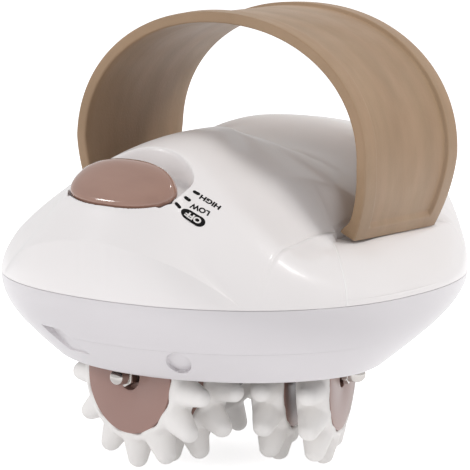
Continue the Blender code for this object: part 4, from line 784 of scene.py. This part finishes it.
def stud_tree():
    """Studs spaced round a tyre: a tapered finger with a round tip, made once and turned into each place."""
    group = bpy.data.node_groups.new("tyre_studs", "GeometryNodeTree")
    kinds = {
        "Tyre": "Geometry", "Studs": "Int", "Root Reach": "Float", "Tip Reach": "Float",
        "Root Radius": "Float", "Tip Radius": "Float", "Breadth": "Float", "Rubber": "Material",
    }
    names = {}
    for name, kind in kinds.items():
        made = group.interface.new_socket(name=name, in_out="INPUT", socket_type="NodeSocket" + kind)
        names[name] = made.identifier
    group.interface.new_socket(name="Tyre", in_out="OUTPUT", socket_type="NodeSocketGeometry")
    t = Tree(group)
    given = group.nodes.new("NodeGroupInput")
    ends = [Socket(t, given.outputs[name]) for name in kinds]
    tyre, studs, root, tip, root_radius, tip_radius, breadth, rubber = ends
    line = t.node("GeometryNodeCurvePrimitiveLine", None, {"Start": (0.0, 0.0, 0.0), "End": (0.0, 0.0, 1.0)})
    line = t.node("GeometryNodeResampleCurve", None, {"Curve": line, "Count": 26})
    along = t.node("GeometryNodeSplineParameter")
    reach = root + (tip - root) * along.math("SINE", along * (0.5 * math.pi))
    spot = t.node("ShaderNodeCombineXYZ", None, {"Z": reach})
    line = t.node("GeometryNodeSetPosition", None, {"Geometry": line, "Position": spot})
    height = t.node("ShaderNodeSeparateXYZ", None, {0: t.node("GeometryNodeInputPosition")}, "Z")
    centre = tip - tip_radius
    over = ((height - centre) / tip_radius).most(0.0).least(0.997)
    rise = ((height - root) / (centre - root)).most(0.0).least(1.0)
    width = (root_radius + (tip_radius - root_radius) * rise**1.7) * (1.0 - over * over) ** 0.5
    ring = t.node("GeometryNodeCurvePrimitiveCircle", None, {"Resolution": 24, "Radius": 1.0})
    shape = {"Curve": line, "Profile Curve": ring, "Scale": width, "Fill Caps": True}
    stud = t.node("GeometryNodeCurveToMesh", None, shape)
    broad = t.node("ShaderNodeCombineXYZ", None, {"X": breadth, "Y": 1.0, "Z": 1.0})
    stud = t.node("GeometryNodeTransform", None, {"Geometry": stud, "Scale": broad})
    turn = math.pi + t.node("GeometryNodeInputIndex") * (2.0 * math.pi / studs)
    spots = t.node("GeometryNodePoints", None, {"Count": studs})
    heading = t.node("ShaderNodeCombineXYZ", None, {"X": turn})
    places = {"Points": spots, "Instance": stud, "Rotation": heading}
    around = t.node("GeometryNodeInstanceOnPoints", None, places)
    whole = t.node("GeometryNodeJoinGeometry", None, {"Geometry": [tyre, around]})
    whole = t.node("GeometryNodeRealizeInstances", None, {"Geometry": whole})
    whole = t.node("GeometryNodeSetMaterial", None, {"Geometry": whole, "Material": rubber})
    t.node("NodeGroupOutput", None, {"Tyre": whole})
    return group, names


TREAD_PROFILE = (
    (-5.0, 12.4), (-5.0, 18.3), (-4.6, 18.95), (-3.9, 19.3), (-2.0, 19.45), (0.0, 19.5), (2.0, 19.45),
    (3.9, 19.3), (4.6, 18.95), (5.0, 18.3), (5.0, 17.3), (3.3, 17.3), (3.3, 12.4),
)
HUB_PROFILE = (
    (-8.3, 2.3), (-8.3, 4.7), (-8.0, 5.0), (-5.0, 5.0), (-5.0, 12.0), (3.6, 12.0), (3.6, 16.75),
    (3.85, 17.0), (4.75, 17.0), (4.93, 16.93), (5.0, 16.7), (4.94, 12.0), (4.92, 4.6), (4.8, 4.3),
    (2.2, 4.15), (2.2, 2.3),
)


def tyre_mesh():
    """Tread ring with its studs, fused by a remesh and softened, as a moulded rubber tyre is."""
    points, faces = closed_lathe(TREAD_PROFILE)
    mesh = bpy.data.meshes.new("tread")
    mesh.from_pydata([tuple(c * MM for c in p) for p in points], [], faces)
    obj = placed_object("tread", mesh)
    studs = obj.modifiers.new("studs", "NODES")
    studs.node_group, names = stud_tree()
    sizes = {
        "Studs": 13, "Root Reach": 15.8 * MM, "Tip Reach": AXLE_Z * MM, "Root Radius": 4.6 * MM,
        "Tip Radius": 2.95 * MM, "Breadth": 1.08, "Rubber": WHITE_RUBBER,
    }
    for name, value in sizes.items():
        studs[names[name]] = value
    fuse = obj.modifiers.new("fuse", "REMESH")
    fuse.mode = "VOXEL"
    fuse.voxel_size = 0.55 * MM
    soften = obj.modifiers.new("soften", "SMOOTH")
    soften.factor = 0.5
    soften.iterations = 5
    graph = bpy.context.evaluated_depsgraph_get()
    made = bpy.data.meshes.new_from_object(obj.evaluated_get(graph))
    bpy.data.objects.remove(obj)
    return made


NUT_START, NUT_HEX_TALL, NUT_TOTAL, NUT_DOME, NUT_BORE = 4.2, 2.6, 7.5, 2.4, 2.1


def hex_ring(w, size, soft):
    """Ring of a hexagon whose corners are cut back to a share of its size."""
    points = []
    for i in range(NUT_SIDES):
        turn = 2.0 * math.pi * i / NUT_SIDES
        part = (turn + math.pi / 6.0) % (math.pi / 3.0) - math.pi / 6.0
        r = min(size * math.cos(math.pi / 6.0) / math.cos(part), size * soft)
        points.append((w, r * math.cos(turn), r * math.sin(turn)))
    return points


def nut_mesh():
    """Hexagon with rounded corners and a blind bore, and a dome on it."""
    top = NUT_START + NUT_HEX_TALL
    points = turned_ring(top + 0.1, NUT_BORE, NUT_SIDES) + turned_ring(NUT_START, NUT_BORE, NUT_SIDES)
    for w, size, soft in (
        (NUT_START, 2.9, 0.9), (NUT_START + 0.15, 3.2, 0.97), (NUT_START + 0.4, 3.2, 1.0),
        (top - 0.4, 3.2, 1.0), (top - 0.12, 3.2, 0.965), (top, 3.05, 0.9),
    ):
        points += hex_ring(w, size, soft)
    points += turned_ring(top, NUT_DOME, NUT_SIDES)
    middle = NUT_START + NUT_TOTAL - NUT_DOME
    for a in np.radians(range(0, 90, 9)):
        points += turned_ring(middle + NUT_DOME * math.sin(a), NUT_DOME * math.cos(a), NUT_SIDES)
    return points, capped(len(points) // NUT_SIDES, NUT_SIDES)


def arm_place(arm, reach):
    """Place on an arm, with local X running outwards along its axle."""
    heading = ARM_REST + arm * 2.0 * math.pi / 3.0
    out = Vector((math.sin(heading), -math.cos(heading), 0.0))
    place = Matrix.Translation(out * reach + Vector((0.0, 0.0, AXLE_Z)))
    return place @ Matrix.Rotation(heading - math.pi / 2.0, 4, "Z")


tyre = tyre_mesh()
hub_points, hub_faces = closed_lathe(HUB_PROFILE)
nut_points, nut_faces = nut_mesh()
for arm in range(3):
    for reach, side in ((OUTER_REACH, "outer"), (INNER_REACH, "inner")):
        place = arm_place(arm, reach)
        tag = f"{arm + 1}_{side}"
        placed = [place @ Vector(p) for p in hub_points]
        piece("hub_" + tag, placed, hub_faces, BROWN_SATIN, "wheel_" + tag, 30.0, "wheel_hub_" + tag)
        mesh = tyre.copy()
        mesh.name = "rubber_tyre_" + tag
        mesh.transform(Matrix.Translation(place.translation * MM) @ place.to_3x3().to_4x4())
        mesh.materials.clear()
        mesh.materials.append(WHITE_RUBBER)
        mesh.shade_smooth()
        obj = placed_object(mesh.name, mesh)
        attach(obj, "wheel_" + tag)
        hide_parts("tyre_" + tag)
    place = arm_place(arm, OUTER_REACH)
    placed = [place @ Vector(p) for p in nut_points]
    piece(f"nut_{arm + 1}", placed, nut_faces, CHROME, "rotor", 30.0, f"dome_nut_{arm + 1}")


# Printed marks beside the switch


def on_skin(x, y, lift=0.0):
    """Point of the upper skin, lifted along its normal."""
    near = 0.05
    z, zx, zy = (float(h) for h in top_height(np.array([x, x + near, x]), np.array([y, y, y + near])))
    normal = Vector(((z - zx) / near, (z - zy) / near, 1.0)).normalized()
    return Vector((x, y, z)) + normal * lift


def laid(flat, centre, heading, lift):
    """Flat points laid on the dome, running along a heading given in the plane from above."""
    here = on_skin(*centre)
    ahead = on_skin(centre[0] + heading[0], centre[1] + heading[1])
    aside = on_skin(centre[0], centre[1] - 1.0)
    along = (ahead - here).normalized()
    rise = (aside - here) - along * (aside - here).dot(along)
    rise.normalize()
    made = []
    for u, v in flat:
        p = here + along * u + rise * v
        made.append(on_skin(p.x, p.y, lift))
    return made


def letters(text, length, height):
    """Flat letters as a mesh, brought to the length and height of the print."""
    curve = bpy.data.curves.new("letters", "FONT")
    curve.body = text
    curve.resolution_u = 6
    curve.offset = 0.045
    obj = placed_object("letters", curve)
    graph = bpy.context.evaluated_depsgraph_get()
    mesh = bpy.data.meshes.new_from_object(obj.evaluated_get(graph))
    flat = np.array([(v.co.x, v.co.y) for v in mesh.vertices])
    faces = [tuple(p.vertices) for p in mesh.polygons]
    bpy.data.objects.remove(obj)
    low, high = flat.min(axis=0), flat.max(axis=0)
    flat = (flat - (low + high) / 2.0) / (high - low) * (length, height)
    return [tuple(p) for p in flat], faces


def pill(length, width, count=12):
    """Outline of a bar with round ends."""
    r = width / 2.0
    made = []
    for sx, start in ((1.0, -90.0), (-1.0, 90.0)):
        for k in range(count + 1):
            a = math.radians(start + 180.0 * k / count)
            made.append((sx * (length / 2.0 - r) + r * math.cos(a), r * math.sin(a)))
    return made


def filled(outline, rings=5):
    """Flat shape filled with rings of faces, so that it bends with the shell."""
    rim = len(outline)
    points = [(0.0, 0.0)] + [(u * k / rings, v * k / rings) for k in range(1, rings + 1) for u, v in outline]
    faces = [(0, 1 + i, 1 + (i + 1) % rim) for i in range(rim)]
    for a in range(1, 1 + rim * (rings - 1), rim):
        faces += [(a + i, a + rim + i, a + rim + (i + 1) % rim, a + (i + 1) % rim) for i in range(rim)]
    return points, faces


def print_marks(name, mat, shapes, lift):
    """One printed piece from flat shapes, each with its centre and its heading."""
    parts = [(laid(flat, centre, heading, lift), faces) for (flat, faces), centre, heading in shapes]
    points, faces = merged(parts)
    piece(name, points, faces, mat, "housing", 60.0)


INK_LIFT, INK_OVER_LIFT = 0.05, 0.1
DASH_HEADING, OFF_HEADING = (-0.94, -0.34), (-0.954, -0.3)
DASH_SPOTS, OFF_SPOT = ((19.0, -54.1), (19.4, -50.0), (19.9, -46.3)), (23.35, -52.7)
WORDS = (("LOW", 5.9, (23.35, -49.5), (-0.913, -0.407)), ("HIGH", 6.6, (24.0, -45.3), (-0.941, -0.338)))

printed = [(filled(pill(2.3, 1.25)), spot, DASH_HEADING) for spot in DASH_SPOTS]
printed += [(letters(text, length, 2.05), spot, heading) for text, length, spot, heading in WORDS]
print_marks("printed_marks", PRINT_BLACK, printed, INK_LIFT)
print_marks("printed_pill", PRINT_BLACK, [(filled(pill(7.5, 3.7, 20)), OFF_SPOT, OFF_HEADING)], INK_LIFT)
print_marks("printed_off", PRINT_LIGHT, [(letters("OFF", 5.0, 2.1), OFF_SPOT, OFF_HEADING)], INK_OVER_LIFT)


# Materials of the model's own nodes, by the start of their names; the longest match counts

KEPT = {
    "axle_": STEEL, "clamp_screw": STEEL, "board_screw": STEEL, "motor_screw": STEEL, "chassis_screw": STEEL,
    "cover_screw": STEEL, "housing_screw": STEEL, "spindle": STEEL, "gear_pin": STEEL, "motor_shaft": STEEL,
    "spindle_bush": BRASS, "motor_pinion": BRASS, "motor": STEEL,
    "output_gear": GEAR_PLASTIC, "middle_gear": GEAR_PLASTIC,
    "rotor_hub": GREY_PLASTIC, "chassis_plate": GREY_PLASTIC, "gear_cover": GREY_PLASTIC,
    "strap_clamp": GREY_PLASTIC, "slide_switch": BLACK_PLASTIC, "power_inlet": BLACK_PLASTIC,
    "circuit_board": BOARD_GREEN,
    "upper_shell": WHITE_TOP, "lower_shell": WHITE_LOW_SHADED, "base_ring": WHITE_LOW_SHADED,
    "hand_strap": RUBBER, "tyre_": WHITE_RUBBER,
    "switch_knob": KNOB_MAT, "switch_slider": BROWN_DARK, "wheel_hub": BROWN_SATIN, "dome_nut": CHROME,
}
for name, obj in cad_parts.items():
    best = max((key for key in KEPT if name.startswith(key)), key=len, default=None)
    if best:
        if not obj.material_slots:
            obj.data.materials.append(KEPT[best])
        for slot in obj.material_slots:
            slot.material = KEPT[best]


# Stage, light and camera


FLOOR_HALF, FLOOR_STEPS = 3.0, 24
FLOOR_GLOW, GLOW_TO_CAMERA, GLOW_IN_GLOSS = 0.24, 0.5, 0.25


def stage_floor():
    """Pale floor that glows a little, more so for the camera, so that it stays white with a soft shadow."""
    f = Finish("pale_floor", 0.9)
    f.tree.nodes.remove(f.surface)
    paint = f.node("ShaderNodeBsdfDiffuse", None, {"Color": (0.85, 0.85, 0.86, 1.0)})
    seen = f.node("ShaderNodeLightPath", None, None, "Is Camera Ray")
    gloss = f.node("ShaderNodeLightPath", None, None, "Is Glossy Ray")
    strength = FLOOR_GLOW + GLOW_TO_CAMERA * seen + GLOW_IN_GLOSS * gloss
    glow = f.node("ShaderNodeEmission", None, {"Strength": strength})
    both = f.node("ShaderNodeAddShader", None, {0: paint, 1: glow})
    f.feed(f.tree.nodes["Material Output"].inputs["Surface"], both)
    spots = np.linspace(-FLOOR_HALF, FLOOR_HALF, FLOOR_STEPS + 1)
    mesh = bpy.data.meshes.new("floor")
    mesh.from_pydata([(x, y, 0.0) for y in spots for x in spots], [], grid_faces(len(spots), len(spots)))
    mesh.materials.append(f.mat)
    obj = placed_object("floor", mesh)


LIT_MIDDLE = Vector((0.0, 0.0, 0.07))
SOFT_LIGHT, WHITE_IN_GLOSS = 0.42, 0.8


def area_light(name, place, size, energy, seen_in_gloss, colour=(1.0, 1.0, 1.0)):
    """Square lamp that faces the middle of the object."""
    light = bpy.data.lights.new(name, "AREA")
    light.energy = energy
    light.size = size
    light.color = colour
    obj = placed_object(name, light)
    obj.location = place
    obj.rotation_euler = (LIT_MIDDLE - obj.location).to_track_quat("-Z", "Y").to_euler()
    obj.visible_glossy = seen_in_gloss


def set_world():
    """Soft light from all sides, white to the camera and nearly white in reflections."""
    world = bpy.data.worlds.new("studio")
    world.use_nodes = True
    world.node_tree.nodes.clear()
    t = Tree(world.node_tree)
    soft = t.node("ShaderNodeBackground", None, {"Color": (0.97, 0.975, 1.0, 1.0), "Strength": SOFT_LIGHT})
    white = t.node("ShaderNodeBackground", None, {"Color": (1.0, 1.0, 1.0, 1.0), "Strength": 1.0})
    camera = t.node("ShaderNodeLightPath", None, None, "Is Camera Ray")
    gloss = t.node("ShaderNodeLightPath", None, None, "Is Glossy Ray")
    shown = t.node("ShaderNodeMixShader", None, {0: camera.most(WHITE_IN_GLOSS * gloss), 1: soft, 2: white})
    t.node("ShaderNodeOutputWorld", None, {"Surface": shown})
    bpy.context.scene.world = world


CAMERA_TURN, CAMERA_ROLL = math.radians(33.0), math.radians(-2.29)
CAMERA_PLACE, CAMERA_TARGET = Vector((0.6274, -0.9609, 0.2419)), Vector((0.00222, 0.00184, 0.0662))
FOCAL_PIXELS, PHOTO_PIXELS, SENSOR = 3920.51, 470.0, 36.0


def set_camera():
    """Camera fitted to the photo: from the front right, a little above, with a slight roll."""
    forward = (CAMERA_TARGET - CAMERA_PLACE).normalized()
    right = Vector((math.cos(CAMERA_TURN), math.sin(CAMERA_TURN), 0.0))
    up = right.cross(forward)
    side = right * math.cos(CAMERA_ROLL) - up * math.sin(CAMERA_ROLL)
    top = right * math.sin(CAMERA_ROLL) + up * math.cos(CAMERA_ROLL)
    matrix = Matrix((side, top, -forward)).transposed().to_4x4()
    matrix.translation = CAMERA_PLACE
    data = bpy.data.cameras.new("camera")
    data.sensor_width = SENSOR
    data.lens = FOCAL_PIXELS / PHOTO_PIXELS * SENSOR
    obj = placed_object("camera", data)
    obj.matrix_world = matrix
    bpy.context.scene.camera = obj


set_camera()
set_world()
stage_floor()
area_light("key_right_rear", (0.5, 0.36, 0.85), 0.3, 4.5, False, (1.0, 0.985, 0.97))
area_light("glint_right_rear", (0.58, 0.35, 0.8), 0.12, 0.6, True)
area_light("glint_left_front", (-0.56, -0.66, 0.58), 0.12, 0.8, True)
area_light("front_fill", (-0.15, -1.6, 0.5), 1.1, 7.0, False)
area_light("left_front_fill", (-1.1, -1.2, 0.62), 0.9, 1.6, False)
area_light("left_fill", (-1.2, -0.1, 0.9), 1.0, 2.8, False)
area_light("right_fill", (1.4, -0.7, 0.3), 0.8, 0.8, False)
bpy.context.scene.view_settings.view_transform = "Standard"
